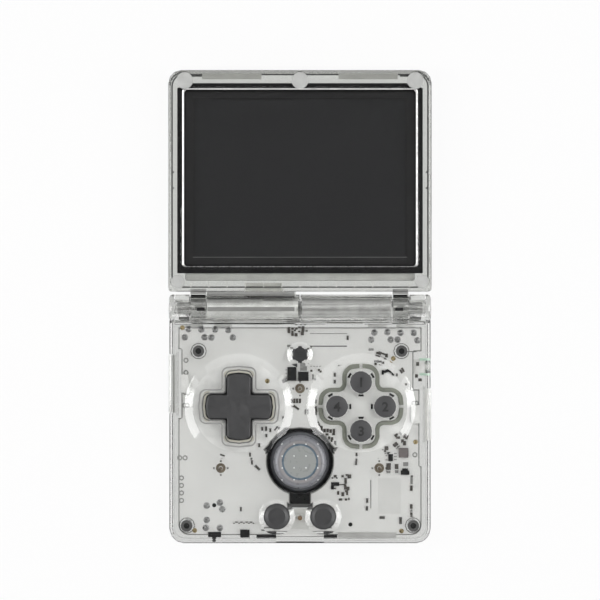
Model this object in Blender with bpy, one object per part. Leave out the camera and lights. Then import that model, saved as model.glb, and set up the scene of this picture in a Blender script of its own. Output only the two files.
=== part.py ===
"""Clamshell handheld game console with a see-through shell, lying opened flat.

Metres, +Z up. The console lies on its back on a table with its keys facing up, and
the lid points to +Y. The origin is under the middle of the opened console, on the
table. Distances called reach are measured from the hinge axis, towards the user on
the base and away from the user on the lid.
"""

import math

import bmesh
import bpy
from mathutils import Vector

# Base shell
BASE_WIDTH = 0.0868
BASE_FRONT_REACH = 0.0781
BASE_REAR_REACH = 0.0030
BASE_THICKNESS = 0.0150
BASE_PARTING = 0.0086
BASE_WALL = 0.0015
BASE_FACE_WALL = 0.0020
BASE_FLOOR_WALL = 0.0015
BASE_FRONT_CORNER = 0.0048
BASE_REAR_CORNER = 0.0020
BASE_EDGE_ROUND = 0.0012

# Lid shell
LID_SIDE_OVERHANG = 0.00035
LID_FRONT_OVERHANG = 0.00105
LID_REAR_REACH = 0.0055
LID_THICKNESS = 0.0095
LID_FRAME_DEPTH = 0.0056
LID_WALL = 0.0012
LID_FACE_WALL = 0.0015
LID_BACK_WALL = 0.0015
LID_TOP_CORNER = 0.0043
LID_HINGE_CORNER = 0.0010
LID_EDGE_ROUND = 0.0009
CLOSED_GAP = 0.0007

# Fits shared by all pieces
SEAT_GAP = 0.0003
SLIDE_GAP = 0.00025
OVERRUN = 0.0010
EMBED = 0.0003
LEAST_CORNER = 0.0001

# Hinge barrel, sections from left to right
BARREL_RADIUS = 0.00455
BARREL_BORE = 0.00335
BARREL_CHANNEL_GAP = 0.00035
BARREL_CHANNEL_WALL = 0.0010
END_CAP_LENGTH = 0.0018
END_CAP_ROUND = 0.0010
END_CAP_PLUG_LENGTH = 0.0007
LEFT_KNUCKLE_INSET = 0.0068
MIDDLE_KNUCKLE_START = 0.00015
MIDDLE_KNUCKLE_INSET = 0.01295
RIGHT_KNUCKLE_INSET = 0.0071
LID_BRIDGE_DEPTH = 0.0028
LID_BRIDGE_LEFT_END = -0.0013
LUG_SLOT_LENGTH = 0.0052
LUG_SLOT_REACH = 0.00375
LUG_SLOT_FLOOR = -0.0002
HINGE_UNIT_LENGTH = 0.0050
HINGE_UNIT_INSET = 0.0002
HINGE_PIN_RADIUS = 0.0016
HINGE_PIN_INSET = 0.0028
HINGE_FLAT_LENGTH = 0.0022
HINGE_FLAT_WIDTH = 0.0012
HINGE_FLAT_DEPTH = 0.0008

# Display flex, wound in the barrel
FLEX_THICKNESS = 0.00025
FLEX_WIDTH = 0.0120
FLEX_LEVEL = 0.0024
FLEX_PITCH = 0.0007
FLEX_TURNS = 2
FLEX_LID_START = -0.0180
FLEX_BASE_START = 0.0090
FLEX_SLOT_GAP = 0.0006
FLEX_PASS_HALF_HEIGHT = 0.0004
FLEX_LCD_GAP = 0.0008

# Dishes and key openings in the base face
DISH_DEPTH = 0.0009
PAD_INSET = 0.0231
PAD_REACH = 0.0327
PAD_DISH_OUTER = 0.0181
PAD_DISH_INNER = 0.0154

# Cross-shaped direction pad
DPAD_TIP = 0.01095
DPAD_HALF_WIDTH = 0.0039
DPAD_END_BULGE = 0.0008
DPAD_CORNER = 0.0009
DPAD_INSIDE_CORNER = 0.0003
DPAD_EDGE_ROUND = 0.0004
DPAD_RISE = 0.00005
DPAD_ARM_BOTTOM = 0.0117
DPAD_DIMPLE_RADIUS = 0.00315
DPAD_DIMPLE_DEPTH = 0.00035
DPAD_FLANGE_RADIUS = 0.0062
DPAD_FLANGE_BOTTOM = 0.0115
DPAD_FLANGE_TOP = 0.0120
DPAD_SIDE_GAP = 0.00035
DPAD_TIP_GAP = 0.0010
DPAD_OPENING_CORNER = 0.0016
DPAD_OPENING_INSIDE_CORNER = 0.0009
DPAD_COLLAR_WALL = 0.0010
DPAD_COLLAR_DEPTH = 0.00045
DPAD_PIVOT_RADIUS = 0.0015
DPAD_PIVOT_HEIGHT = 0.0124
DPAD_PIVOT_TOP = 0.0129
DPAD_SOCKET_GAP = 0.0005

# Round face buttons
BUTTON_RADIUS = 0.00365
BUTTON_X_SPACING = 0.0080
BUTTON_Y_SPACING = 0.0081
BUTTON_TOP_RISE = 0.0002
BUTTON_CROWN = 0.0002
BUTTON_EDGE = 0.00035
BUTTON_BOTTOM = 0.0117
BUTTON_RECESS_RADIUS = 0.0026
BUTTON_RECESS_TOP = 0.0128
BUTTON_TRAVEL = 0.0010
LUG_REACH = 0.0045
LUG_WIDTH = 0.0015
LUG_COUNT = 3
LUG_STEP = 0.0002
CLUSTER_TIP = 0.0140
CLUSTER_HALF_WIDTH = 0.0061
CLUSTER_CORNER = 0.0034
CLUSTER_INSIDE_CORNER = 0.0014
CLUSTER_BULGE = 0.0010
CLUSTER_WALL = 0.0011
CLUSTER_TIP_GAP = 0.0008
CLUSTER_SKIRT_BOTTOM = 0.0109

# Start and select buttons
SYSTEM_X = 0.0077
SYSTEM_FRONT_INSET = 0.00885
SYSTEM_RADIUS = 0.00405
SYSTEM_TOP_RADIUS = 0.0029
SYSTEM_TOP_STEP = 0.0001
SYSTEM_TOP_DROP = 0.0001
SYSTEM_SHOULDER_DROP = 0.0005
SYSTEM_DISH_OUTER = 0.0061
SYSTEM_FLANGE_RADIUS = 0.0047
SYSTEM_BOTTOM = 0.0119
SYSTEM_RECESS_RADIUS = 0.0024
SYSTEM_RECESS_TOP = 0.0126
SYSTEM_TRAVEL = 0.0006

# Menu button
MENU_REACH = 0.01538
MENU_RADIUS = 0.0024
MENU_TOP_DROP = 0.0004
MENU_DISH_OUTER = 0.0043
MENU_BOTTOM = 0.0120
MENU_LOBE_REACH = 0.0031
MENU_LOBE_WIDTH = 0.0013
MENU_LOBE_COUNT = 6
MENU_SWITCH_RADIUS = 0.0016
MENU_TRAVEL = 0.0005

# Thumb stick
STICK_FRONT_INSET = 0.0270
STICK_OPENING = 0.0106
STICK_PIVOT_HEIGHT = 0.0073
STICK_CAP_RADIUS = 0.0089
STICK_CREST_RADIUS = 0.0071
STICK_DISC_RADIUS = 0.0059
STICK_RIM_BOTTOM = 0.0119
STICK_RIM_TOP = 0.0124
STICK_RIM_WALL = 0.0008
STICK_CREST_HEIGHT = 0.0143
STICK_DISC_HEIGHT = 0.0135
STICK_CAP_UNDERSIDE = 0.0125
STICK_BOSS_RADIUS = 0.0028
STICK_BOSS_BOTTOM = 0.0106
STICK_SOCKET_TOP = 0.0123
STICK_STEM_RADIUS = 0.0014
STICK_STEM_BOTTOM = 0.0056
STICK_BLOCK_RADIUS = 0.0042
STICK_BLOCK_HALF_HEIGHT = 0.0009
STICK_BLOCK_PIN = 0.0005
STICK_YOKE_INNER = 0.0046
STICK_YOKE_OUTER = 0.0066
STICK_YOKE_HALF_HEIGHT = 0.0012
STICK_YOKE_PIN = 0.0006
STICK_TRUNNION_SEAT = 0.0006
STICK_WELL_RADIUS = 0.0080
STICK_WELL_FLOOR = 0.0042
STICK_HOUSING_HALF = 0.0113
STICK_HOUSING_CORNER = 0.0020
STICK_HOUSING_BOTTOM = 0.0030
STICK_TAIL_HALF_WIDTH = 0.0034
STICK_TAIL_REACH = 0.0154
STICK_TAIL_THICKNESS = 0.0014

# Main board
BOARD_TOP = 0.0099
BOARD_THICKNESS = 0.0010
BOARD_SIDE_INSET = 0.0029
BOARD_REAR_REACH = 0.0064
BOARD_FRONT_INSET = 0.0025
BOARD_CORNER = 0.0034
BOARD_LEFT_STEP = 0.0010
BOARD_LEFT_STEP_START = 0.0137
BOARD_LEFT_STEP_END = 0.0366
BOARD_RIGHT_NOTCH = 0.0027
BOARD_RIGHT_NOTCH_START = 0.0144
BOARD_RIGHT_NOTCH_END = 0.0271
BOARD_RIGHT_STEP = 0.0007
BOARD_RIGHT_STEP_INSET = 0.0254
BOARD_STICK_CUT = 0.0111
BOARD_EAR_HALF_TOP = 0.0043
BOARD_EAR_HALF_BOTTOM = 0.0117
BOARD_EAR_DEPTH = 0.0077
BOARD_POST_HOLE_GAP = 0.0004

# Screw posts and bosses
POST_REAR_SIDE_INSET = 0.0096
POST_REACH_REAR = 0.0143
POST_FRONT_SIDE_INSET = 0.0057
POST_FRONT_INSET = 0.0057
POST_RADIUS = 0.0020
POST_TIP = 0.0090
REAR_POST_RADIUS = 0.0024
POST_BORE = 0.0008
POST_BORE_DEPTH = 0.0026
SCREW_HOLE_RADIUS = 0.0011
SCREW_HEAD_RADIUS = 0.0018
SCREW_HEAD_DEPTH = 0.0022
BOSS_RADIUS = 0.0015
BOSS_BORE = 0.0006
MIDDLE_BOSS_REACH = 0.0268
SIDE_BOSS_INSET = 0.0170
SIDE_BOSS_FRONT_INSET = 0.0248
RIB_THICKNESS = 0.0005
RIB_LENGTH = 0.0009
RIB_BOTTOM = 0.0112

# Rubber key mats on the board
MAT_THICKNESS = 0.0004
MAT_CORNER = 0.0010
DPAD_MAT_TIP = 0.0124
DPAD_MAT_HALF_WIDTH = 0.0050
DPAD_DOME_RADIUS = 0.0018
DPAD_DOME_REACH = 0.0078
DPAD_DOME_RISE = 0.0003
FACE_DOME_RADIUS = 0.0021
SYSTEM_MAT_HALF_LENGTH = 0.0122
SYSTEM_MAT_HALF_WIDTH = 0.0043
SYSTEM_DOME_RADIUS = 0.0019

# Status light
LED_FRONT_INSET = 0.0084
LED_RADIUS = 0.0008
LED_SINK = 0.0001
LED_LENGTH = 0.0036

# Thumb scoop in the front edge
SCOOP_HALF_WIDTH = 0.0079
SCOOP_RADIUS = 0.0080
SCOOP_DEPTH = 0.0007

# Side keys
ROCKER_REACH = 0.0251
ROCKER_LENGTH = 0.0192
ROCKER_BOTTOM = 0.0101
ROCKER_TOP = 0.0125
SIDE_KEY_PROUD = 0.0003
ROCKER_END_SETBACK = 0.0008
SIDE_FLANGE_THICKNESS = 0.0007
SIDE_FLANGE_OVERHANG = 0.0009
POWER_REACH = 0.0353
POWER_LENGTH = 0.0168
SIDE_SWITCH_DEPTH = 0.0024
SIDE_SWITCH_LENGTH = 0.0060
SIDE_SWITCH_HEIGHT = 0.0018

# Shoulder buttons in the rear wall
SHOULDER_INSET = 0.0081
SHOULDER_SPACING = 0.0095
SHOULDER_OUTER_LENGTH = 0.0094
SHOULDER_INNER_LENGTH = 0.0066
SHOULDER_BOTTOM = 0.0034
SHOULDER_TOP = 0.0082
SHOULDER_PROUD = 0.0009
SHOULDER_STEM_HALF_WIDTH = 0.0016
SHOULDER_FLANGE_THICKNESS = 0.0006
SHOULDER_FLANGE_OVERHANG = 0.0004
SHOULDER_TRAVEL = 0.0008
SHOULDER_ROUND = 0.0006
SWITCH_LENGTH = 0.0060
SWITCH_DEPTH = 0.0050
SWITCH_REAR_REACH = 0.0050
SWITCH_HEIGHT = 0.0036
SWITCH_NUB_RADIUS = 0.0009
SWITCH_NUB_LENGTH = 0.0009

# Inner units of the base
BATTERY_SIDE_INSET = 0.0139
BATTERY_REAR_REACH = 0.0110
BATTERY_FRONT_INSET = 0.0396
BATTERY_THICKNESS = 0.0042
BATTERY_CORNER = 0.0015
BATTERY_EDGE = 0.0008
SHIELD_HALF_WIDTH = 0.0085
SHIELD_REAR_REACH = 0.0155
SHIELD_STICK_GAP = 0.0073
SHIELD_HEIGHT = 0.0016
SHIELD_CORNER = 0.0008
SPEAKER_SIDE_INSET = 0.0084
SPEAKER_INNER_X = 0.0170
SPEAKER_FRONT_INSET = 0.0126
SPEAKER_HALF_WIDTH = 0.0055
SPEAKER_HEIGHT = 0.0040
SPEAKER_CONE_DEPTH = 0.0010
SPEAKER_CONE_MARGIN = 0.0012
GRILLE_SLOT_COUNT = 5
GRILLE_SLOT_LENGTH = 0.0100
GRILLE_SLOT_WIDTH = 0.0010
GRILLE_PITCH = 0.0019
CARD_SIDE_INSET = 0.0211
CARD_HALF_WIDTH = 0.0072
CARD_LENGTH = 0.0140
CARD_HEIGHT = 0.0018
CARD_MOUTH_HALF_WIDTH = 0.0058
CARD_MOUTH_HEIGHT = 0.0010
CARD_MOUTH_DEPTH = 0.0110
JACK_REACH = 0.0196
JACK_HEIGHT = 0.0058
JACK_NOSE_RADIUS = 0.0020
JACK_BORE = 0.00175
JACK_BODY_LENGTH = 0.0105
JACK_BODY_HALF_WIDTH = 0.0025
JACK_BODY_HALF_HEIGHT = 0.0024
JACK_BORE_DEPTH = 0.0090
USB_HALF_WIDTH = 0.0045
USB_HEIGHT = 0.0032
USB_LENGTH = 0.0072
USB_WALL = 0.0004
USB_CENTER_HEIGHT = 0.0052
USB_TONGUE_THICKNESS = 0.0007
USB_TONGUE_MARGIN = 0.0012
USB_TONGUE_SETBACK = 0.0006

# Display stack in the lid
LENS_SIDE_INSET = 0.00525
LENS_NEAR_REACH = 0.0140
LENS_FAR_INSET = 0.00675
LENS_SINK = 0.0008
LENS_THICKNESS = 0.0016
LENS_CORNER = 0.0010
BEZEL_CHAMFER = 0.0008
LCD_SIDE_MARGIN = 0.0004
LCD_NEAR_REACH = 0.0092
LCD_FAR_MARGIN = 0.0004
LCD_THICKNESS = 0.0024
LCD_CORNER = 0.0006
BAND_SIDE_MARGIN = 0.0023
BAND_NEAR_REACH = 0.0116
BAND_FAR_MARGIN = 0.0024
BAND_CHAMFER_X = 0.0045
BAND_CHAMFER_Y = 0.0017
BAND_THICKNESS = 0.0006
CENTER_POST_CLEARANCE = 0.0005

# Rubber pads on the lid's rim
PAD_RADIUS = 0.0028
LOW_PAD_RADIUS = 0.0023
PAD_POCKET_DEPTH = 0.0008
PAD_PROUD = 0.0004
TOP_PAD_SIDE_INSET = 0.00545
TOP_PAD_FAR_INSET = 0.00355
LOW_PAD_SIDE_INSET = 0.00325
LOW_PAD_REACH = 0.00885
LID_POST_RADIUS = 0.0013
LID_LOW_POST_RADIUS = 0.0011
RIM_STRIP_START = 0.0126
RIM_STRIP_SIDE_INSET = 0.01105
RIM_STRIP_FAR_INSET = 0.00235
RIM_STRIP_HALF_WIDTH = 0.0009
RIM_STRIP_DEPTH = 0.0004
LCD_RIB_COUNT = 5
LCD_RIB_THICKNESS = 0.0010

# Facet counts
CORNER_STEPS = 3
CROSS_CORNER_STEPS = 2
ROUND_STEPS = 18
DISH_STEPS = 36
SMALL_STEPS = 10
BARREL_STEPS = 24
EDGE_STEPS = 2
SPIRAL_STEPS = 14
SCOOP_STEPS = 60
STICK_STEPS = 28
CREST_STEPS = 3

# Shares
PORT_ROUND_SHARE = 0.95
DOME_SHOULDER_SHARE = 0.3
DOME_CROWN_SHARE = 0.8
CROWN_HALF_SHARE = 0.75

# Places that follow from the sizes
LID_REACH = BASE_FRONT_REACH + LID_FRONT_OVERHANG
HINGE_Y = (BASE_FRONT_REACH - LID_REACH) / 2
HINGE_Z = BASE_THICKNESS + CLOSED_GAP / 2
BASE_HALF_WIDTH = BASE_WIDTH / 2
LID_HALF_WIDTH = BASE_HALF_WIDTH + LID_SIDE_OVERHANG
BOARD_HALF_WIDTH = BASE_HALF_WIDTH - BOARD_SIDE_INSET
BOARD_FRONT_REACH = BASE_FRONT_REACH - BOARD_FRONT_INSET
BOARD_RIGHT_STEP_END = BASE_FRONT_REACH - BOARD_RIGHT_STEP_INSET
POST_X_REAR = BASE_HALF_WIDTH - POST_REAR_SIDE_INSET
POST_X_FRONT = BASE_HALF_WIDTH - POST_FRONT_SIDE_INSET
POST_REACH_FRONT = BASE_FRONT_REACH - POST_FRONT_INSET
SIDE_BOSS_X = BASE_HALF_WIDTH - SIDE_BOSS_INSET
SIDE_BOSS_REACH = BASE_FRONT_REACH - SIDE_BOSS_FRONT_INSET
PAD_X = BASE_HALF_WIDTH - PAD_INSET
SYSTEM_REACH = BASE_FRONT_REACH - SYSTEM_FRONT_INSET
LED_REACH = BASE_FRONT_REACH - LED_FRONT_INSET
STICK_REACH = BASE_FRONT_REACH - STICK_FRONT_INSET
SHIELD_FRONT_REACH = STICK_REACH - STICK_HOUSING_HALF - SHIELD_STICK_GAP
CARD_X = BASE_HALF_WIDTH - CARD_SIDE_INSET
SHOULDER_OUTER_X = BASE_HALF_WIDTH - SHOULDER_INSET
SHOULDER_INNER_X = SHOULDER_OUTER_X - SHOULDER_SPACING
LEFT_KNUCKLE_INNER = LEFT_KNUCKLE_INSET - BASE_HALF_WIDTH
RIGHT_KNUCKLE_INNER = BASE_HALF_WIDTH - RIGHT_KNUCKLE_INSET
MIDDLE_KNUCKLE_END = BASE_HALF_WIDTH - MIDDLE_KNUCKLE_INSET
HINGE_PIN_END = BASE_HALF_WIDTH - HINGE_PIN_INSET
BATTERY_HALF_LENGTH = BASE_HALF_WIDTH - BATTERY_SIDE_INSET
BATTERY_FRONT_REACH = BASE_FRONT_REACH - BATTERY_FRONT_INSET
SPEAKER_X = -(BASE_HALF_WIDTH - SPEAKER_SIDE_INSET + SPEAKER_INNER_X) / 2
SPEAKER_HALF_LENGTH = (BASE_HALF_WIDTH - SPEAKER_SIDE_INSET - SPEAKER_INNER_X) / 2
SPEAKER_REACH = BASE_FRONT_REACH - SPEAKER_FRONT_INSET
LENS_HALF_WIDTH = LID_HALF_WIDTH - LENS_SIDE_INSET
LENS_FAR_REACH = LID_REACH - LENS_FAR_INSET
LCD_HALF_WIDTH = LENS_HALF_WIDTH - LCD_SIDE_MARGIN
LCD_FAR_REACH = LENS_FAR_REACH + LCD_FAR_MARGIN
BAND_HALF_WIDTH = LENS_HALF_WIDTH + BAND_SIDE_MARGIN
BAND_FAR_REACH = LENS_FAR_REACH + BAND_FAR_MARGIN
TOP_PAD_X = LID_HALF_WIDTH - TOP_PAD_SIDE_INSET
TOP_PAD_REACH = LID_REACH - TOP_PAD_FAR_INSET
LOW_PAD_X = LID_HALF_WIDTH - LOW_PAD_SIDE_INSET
RIM_STRIP_END = LID_HALF_WIDTH - RIM_STRIP_SIDE_INSET
RIM_STRIP_REACH = LID_REACH - RIM_STRIP_FAR_INSET
BASE_FRONT_Y = HINGE_Y - BASE_FRONT_REACH
BASE_REAR_Y = HINGE_Y + BASE_REAR_REACH
BASE_UNDERFACE = BASE_THICKNESS - BASE_FACE_WALL
DISH_FLOOR = BASE_THICKNESS - DISH_DEPTH
LID_FACE = BASE_THICKNESS
LID_BACK = LID_FACE - LID_THICKNESS
LID_PARTING = LID_FACE - LID_FRAME_DEPTH
LID_UNDERFACE = LID_FACE - LID_FACE_WALL
LUG_TOP = BASE_UNDERFACE - SEAT_GAP
BOARD_BOTTOM = BOARD_TOP - BOARD_THICKNESS
MAT_BOTTOM = BOARD_TOP + SEAT_GAP
MAT_TOP = MAT_BOTTOM + MAT_THICKNESS
UNDER_BOARD = BOARD_BOTTOM - SEAT_GAP
FLOOR_SEAT = BASE_FLOOR_WALL + SEAT_GAP
LID_LEFT_START = LEFT_KNUCKLE_INNER + SLIDE_GAP
LID_LEFT_END = MIDDLE_KNUCKLE_START - SLIDE_GAP
LID_RIGHT_START = MIDDLE_KNUCKLE_END + SLIDE_GAP
LID_RIGHT_END = RIGHT_KNUCKLE_INNER - SLIDE_GAP
CHANNEL_RADIUS = BARREL_RADIUS + BARREL_CHANNEL_GAP
KNUCKLE_OUTER = BASE_HALF_WIDTH - END_CAP_LENGTH - SLIDE_GAP
PIN_BORE = HINGE_PIN_RADIUS + SEAT_GAP
ROCKER_HEIGHT = (ROCKER_BOTTOM + ROCKER_TOP) / 2

SHELL_CLEAR = (0.80, 0.82, 0.78, 0.35)
KEY_GREY = (0.075, 0.075, 0.078, 1.0)
BUTTON_GREY = (0.095, 0.095, 0.1, 1.0)
BOARD_WHITE = (0.72, 0.72, 0.70, 1.0)
RUBBER_CREAM = (0.62, 0.58, 0.46, 1.0)
BLACK_PLASTIC = (0.015, 0.015, 0.017, 1.0)
STICK_GREY = (0.06, 0.065, 0.08, 1.0)
STEEL = (0.62, 0.61, 0.60, 1.0)
GLASS_DARK = (0.025, 0.025, 0.027, 1.0)
PAD_GREY = (0.55, 0.56, 0.53, 1.0)
FOIL_GREY = (0.30, 0.31, 0.33, 1.0)
FLEX_AMBER = (0.30, 0.15, 0.04, 1.0)


def clear_scene():
    """Remove whatever the opened file holds."""
    for obj in list(bpy.data.objects):
        bpy.data.objects.remove(obj, do_unlink=True)


def material(name, color, roughness, metallic=0.0, transmission=0.0):
    """Return a Principled material."""
    mat = bpy.data.materials.new(name)
    mat.use_nodes = True
    shader = mat.node_tree.nodes["Principled BSDF"]
    shader.inputs["Base Color"].default_value = color
    shader.inputs["Roughness"].default_value = roughness
    shader.inputs["Metallic"].default_value = metallic
    shader.inputs["Transmission Weight"].default_value = transmission
    shader.inputs["Alpha"].default_value = color[3]
    return mat


def add_object(name, bm, origin):
    """Link a bmesh as an object whose origin is the given point."""
    bmesh.ops.recalc_face_normals(bm, faces=bm.faces)
    bmesh.ops.translate(bm, verts=bm.verts, vec=-Vector(origin))
    mesh = bpy.data.meshes.new(name)
    bm.to_mesh(mesh)
    bm.free()
    mesh.shade_smooth()
    mesh.set_sharp_from_angle(angle=math.radians(35))
    obj = bpy.data.objects.new(name, mesh)
    obj.location = origin
    bpy.context.scene.collection.objects.link(obj)
    return obj


def stack(name, rings, origin=(0.0, 0.0, 0.0)):
    """Skin a pile of rings of 3D points, closing both ends; a one-point ring is a tip."""
    bm = bmesh.new()
    levels = [[bm.verts.new(point) for point in ring] for ring in rings]
    for low, high in zip(levels, levels[1:]):
        count = max(len(low), len(high))
        for i in range(count):
            j = (i + 1) % count
            corners = [low[i % len(low)], low[j % len(low)], high[j % len(high)], high[i % len(high)]]
            bm.faces.new(list(dict.fromkeys(corners)))
    for end in (levels[0], levels[-1]):
        if len(end) > 2:
            bm.faces.new(end)
    return add_object(name, bm, origin)


def prism(name, outline, low, high, origin=(0.0, 0.0, 0.0)):
    """Extrude a flat outline of (x, y) points between two heights."""
    return stack(name, [[(x, y, z) for x, y in outline] for z in (low, high)], origin)


def side_prism(name, outline, start, end, origin=(0.0, 0.0, 0.0)):
    """Extrude an outline of (y, z) points along X."""
    return stack(name, [[(x, y, z) for y, z in outline] for x in (start, end)], origin)


def block(name, low, high, origin=(0.0, 0.0, 0.0)):
    """Return a box between two corners."""
    outline = [(low[0], low[1]), (high[0], low[1]), (high[0], high[1]), (low[0], high[1])]
    return prism(name, outline, low[2], high[2], origin)


def turned(name, profile, center, axis="Z", steps=ROUND_STEPS, origin=(0.0, 0.0, 0.0)):
    """Turn a profile of (radius, distance along the axis) round an axis through center."""
    rings = []
    for radius, along in profile:
        ring = []
        for k in range(steps if radius > 0 else 1):
            angle = 2 * math.pi * k / steps
            u = radius * math.cos(angle)
            v = radius * math.sin(angle)
            place = {"X": (along, u, v), "Y": (v, along, u), "Z": (u, v, along)}[axis]
            ring.append(tuple(a + b for a, b in zip(place, center)))
        rings.append(ring)
    return stack(name, rings, origin)


def hollow_turned(name, profile, center, steps=ROUND_STEPS, origin=(0.0, 0.0, 0.0)):
    """Turn a closed profile of (radius, height) that never meets the axis."""
    bm = bmesh.new()
    rings = []
    for radius, height in profile:
        angles = [2 * math.pi * k / steps for k in range(steps)]
        ring = [(center[0] + radius * math.cos(a), center[1] + radius * math.sin(a), height) for a in angles]
        rings.append([bm.verts.new(point) for point in ring])
    for low, high in zip(rings, rings[1:] + rings[:1]):
        for i in range(steps):
            j = (i + 1) % steps
            bm.faces.new((low[i], low[j], high[j], high[i]))
    return add_object(name, bm, origin)


def rod(name, axis, start, end, radius, center, steps=BARREL_STEPS, origin=(0.0, 0.0, 0.0)):
    """Return a cylinder along an axis between two coordinates."""
    profile = [(0.0, start), (radius, start), (radius, end), (0.0, end)]
    return turned(name, profile, center, axis, steps, origin)


def arc(center, radius, start, end, steps):
    """Points on an arc between two angles in degrees."""
    points = []
    for k in range(steps + 1):
        angle = math.radians(start + (end - start) * k / steps)
        points.append((center[0] + radius * math.cos(angle), center[1] + radius * math.sin(angle)))
    return points


def rounded_outline(corners, steps=CORNER_STEPS):
    """Round the corners of an outline given as (x, y, radius); radius 0 keeps the point."""
    points = []
    for i, (x, y, radius) in enumerate(corners):
        if radius <= 0:
            points.append((x, y))
            continue
        here = Vector((x, y))
        before = (Vector(corners[i - 1][:2]) - here).normalized()
        after = (Vector(corners[(i + 1) % len(corners)][:2]) - here).normalized()
        half = before.angle(after) / 2
        middle = here + (before + after).normalized() * radius / math.sin(half)
        start = here + before * radius / math.tan(half) - middle
        sweep = start.angle_signed(here + after * radius / math.tan(half) - middle)
        for k in range(steps + 1):
            angle = -sweep * k / steps
            turn = Vector((
                start.x * math.cos(angle) - start.y * math.sin(angle),
                start.x * math.sin(angle) + start.y * math.cos(angle),
            ))
            points.append(tuple(middle + turn))
    return points


def rounded_rectangle(x0, x1, y0, y1, low_corner, high_corner, inset=0.0):
    """Rectangle with its two low-y corners and its two high-y corners rounded."""
    low = max(low_corner - inset, LEAST_CORNER)
    high = max(high_corner - inset, LEAST_CORNER)
    return rounded_outline([
        (x0 + inset, y0 + inset, low),
        (x1 - inset, y0 + inset, low),
        (x1 - inset, y1 - inset, high),
        (x0 + inset, y1 - inset, high),
    ])


def cross_outline(tip, half_width, bulge, corner, inside_corner, inset=0.0):
    """Plus-shaped outline whose arm ends bulge outwards."""
    tip = tip - inset
    half = half_width - inset
    outer = max(corner - inset, LEAST_CORNER)
    corners = []
    for k in range(4):
        angle = k * math.pi / 2
        arm = [
            (half, -half, inside_corner),
            (tip - bulge, -half, outer),
            (tip - bulge / 4, -half / 2, 0),
            (tip, 0, 0),
            (tip - bulge / 4, half / 2, 0),
            (tip - bulge, half, outer),
        ]
        for x, y, radius in arm:
            corners.append((
                x * math.cos(angle) - y * math.sin(angle),
                x * math.sin(angle) + y * math.cos(angle),
                radius,
            ))
    return rounded_outline(corners, CROSS_CORNER_STEPS)


def moved(outline, x, y):
    """Shift a flat outline."""
    return [(px + x, py + y) for px, py in outline]


def combine(target, tools, operation, solver="EXACT"):
    """Apply tool solids to a piece with one Boolean modifier and hide the tools."""
    label = f"{target.name}_{operation.lower()}_{len(target.modifiers)}"
    group = bpy.data.collections.new(label)
    modifier = target.modifiers.new(label, "BOOLEAN")
    modifier.operation = operation
    modifier.solver = solver
    modifier.operand_type = "COLLECTION"
    modifier.collection = group
    for tool in tools:
        group.objects.link(tool)
        tool.hide_render = True
        tool.display_type = "WIRE"


def cut(target, *tools, solver="EXACT"):
    """Take tool solids out of a piece."""
    combine(target, tools, "DIFFERENCE", solver)


def fuse(target, *tools):
    """Add tool solids to a piece."""
    combine(target, tools, "UNION")


def paint(obj, mat):
    """Give an object its material."""
    obj.data.materials.append(mat)
    return obj


def front(reach):
    """World y of a point of the base at a distance from the hinge axis."""
    return HINGE_Y - reach


def back(reach):
    """World y of a point of the opened lid at a distance from the hinge axis."""
    return HINGE_Y + reach


def rounding(radius):
    """Insets and drops of a quarter-round edge, from its start to the flat."""
    angles = [math.pi / 2 * k / EDGE_STEPS for k in range(EDGE_STEPS + 1)]
    return [(radius * (1 - math.cos(a)), radius * (1 - math.sin(a))) for a in angles]


def shell_outside(name, bounds, corners, low, high, edge, rounded_top):
    """Outer form of a half shell with one rounded rim edge."""
    x0, x1, y0, y1 = bounds
    rings = []
    for inset, drop in rounding(edge):
        height = high - drop if rounded_top else low + drop
        outline = rounded_rectangle(x0, x1, y0, y1, corners[0], corners[1], inset)
        rings.append([(x, y, height) for x, y in outline])
    plain = rounded_rectangle(x0, x1, y0, y1, corners[0], corners[1])
    rings.insert(0, [(x, y, low if rounded_top else high) for x, y in plain])
    return stack(name, rings)


def base_bounds(inset=0.0):
    """Left, right, front and rear limits of the base, drawn in by a wall."""
    return (-BASE_HALF_WIDTH + inset, BASE_HALF_WIDTH - inset, BASE_FRONT_Y + inset, BASE_REAR_Y - inset)


def lid_bounds(inset=0.0):
    """Left, right, near and far limits of the lid, drawn in by a wall."""
    return (-LID_HALF_WIDTH + inset, LID_HALF_WIDTH - inset, back(LID_REAR_REACH) + inset, back(LID_REACH) - inset)


def dish(name, x, y, outer, inner):
    """Cutter for a shallow cone sunk in the base face."""
    slope = (outer - inner) / DISH_DEPTH
    profile = [
        (0.0, DISH_FLOOR),
        (inner, DISH_FLOOR),
        (outer + slope * OVERRUN, BASE_THICKNESS + OVERRUN),
        (0.0, BASE_THICKNESS + OVERRUN),
    ]
    return turned(name, profile, (x, y, 0.0), steps=DISH_STEPS if outer > SYSTEM_DISH_OUTER else ROUND_STEPS)


def face_hole(name, x, y, radius):
    """Cutter for a round hole through the base face."""
    return rod(name, "Z", BOARD_TOP, BASE_THICKNESS + OVERRUN, radius, (x, y, 0.0), steps=ROUND_STEPS)


def ribbed_boss(name, x, y, radius, bottom, bore):
    """Screw boss under the base face with four small ribs, and the cutter for its bore."""
    top = BASE_UNDERFACE + EMBED
    boss = rod(name, "Z", bottom, top, radius, (x, y, 0.0), steps=SMALL_STEPS)
    reach = radius + RIB_LENGTH
    half = RIB_THICKNESS / 2
    ribs = [
        block(f"{name}_rib_x", (x - reach, y - half, RIB_BOTTOM), (x + reach, y + half, top)),
        block(f"{name}_rib_y", (x - half, y - reach, RIB_BOTTOM), (x + half, y + reach, top)),
    ]
    drill = rod(f"{name}_bore", "Z", bottom - OVERRUN, bottom + POST_BORE_DEPTH, bore, (x, y, 0.0), steps=SMALL_STEPS)
    return [boss] + ribs, drill


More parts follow.
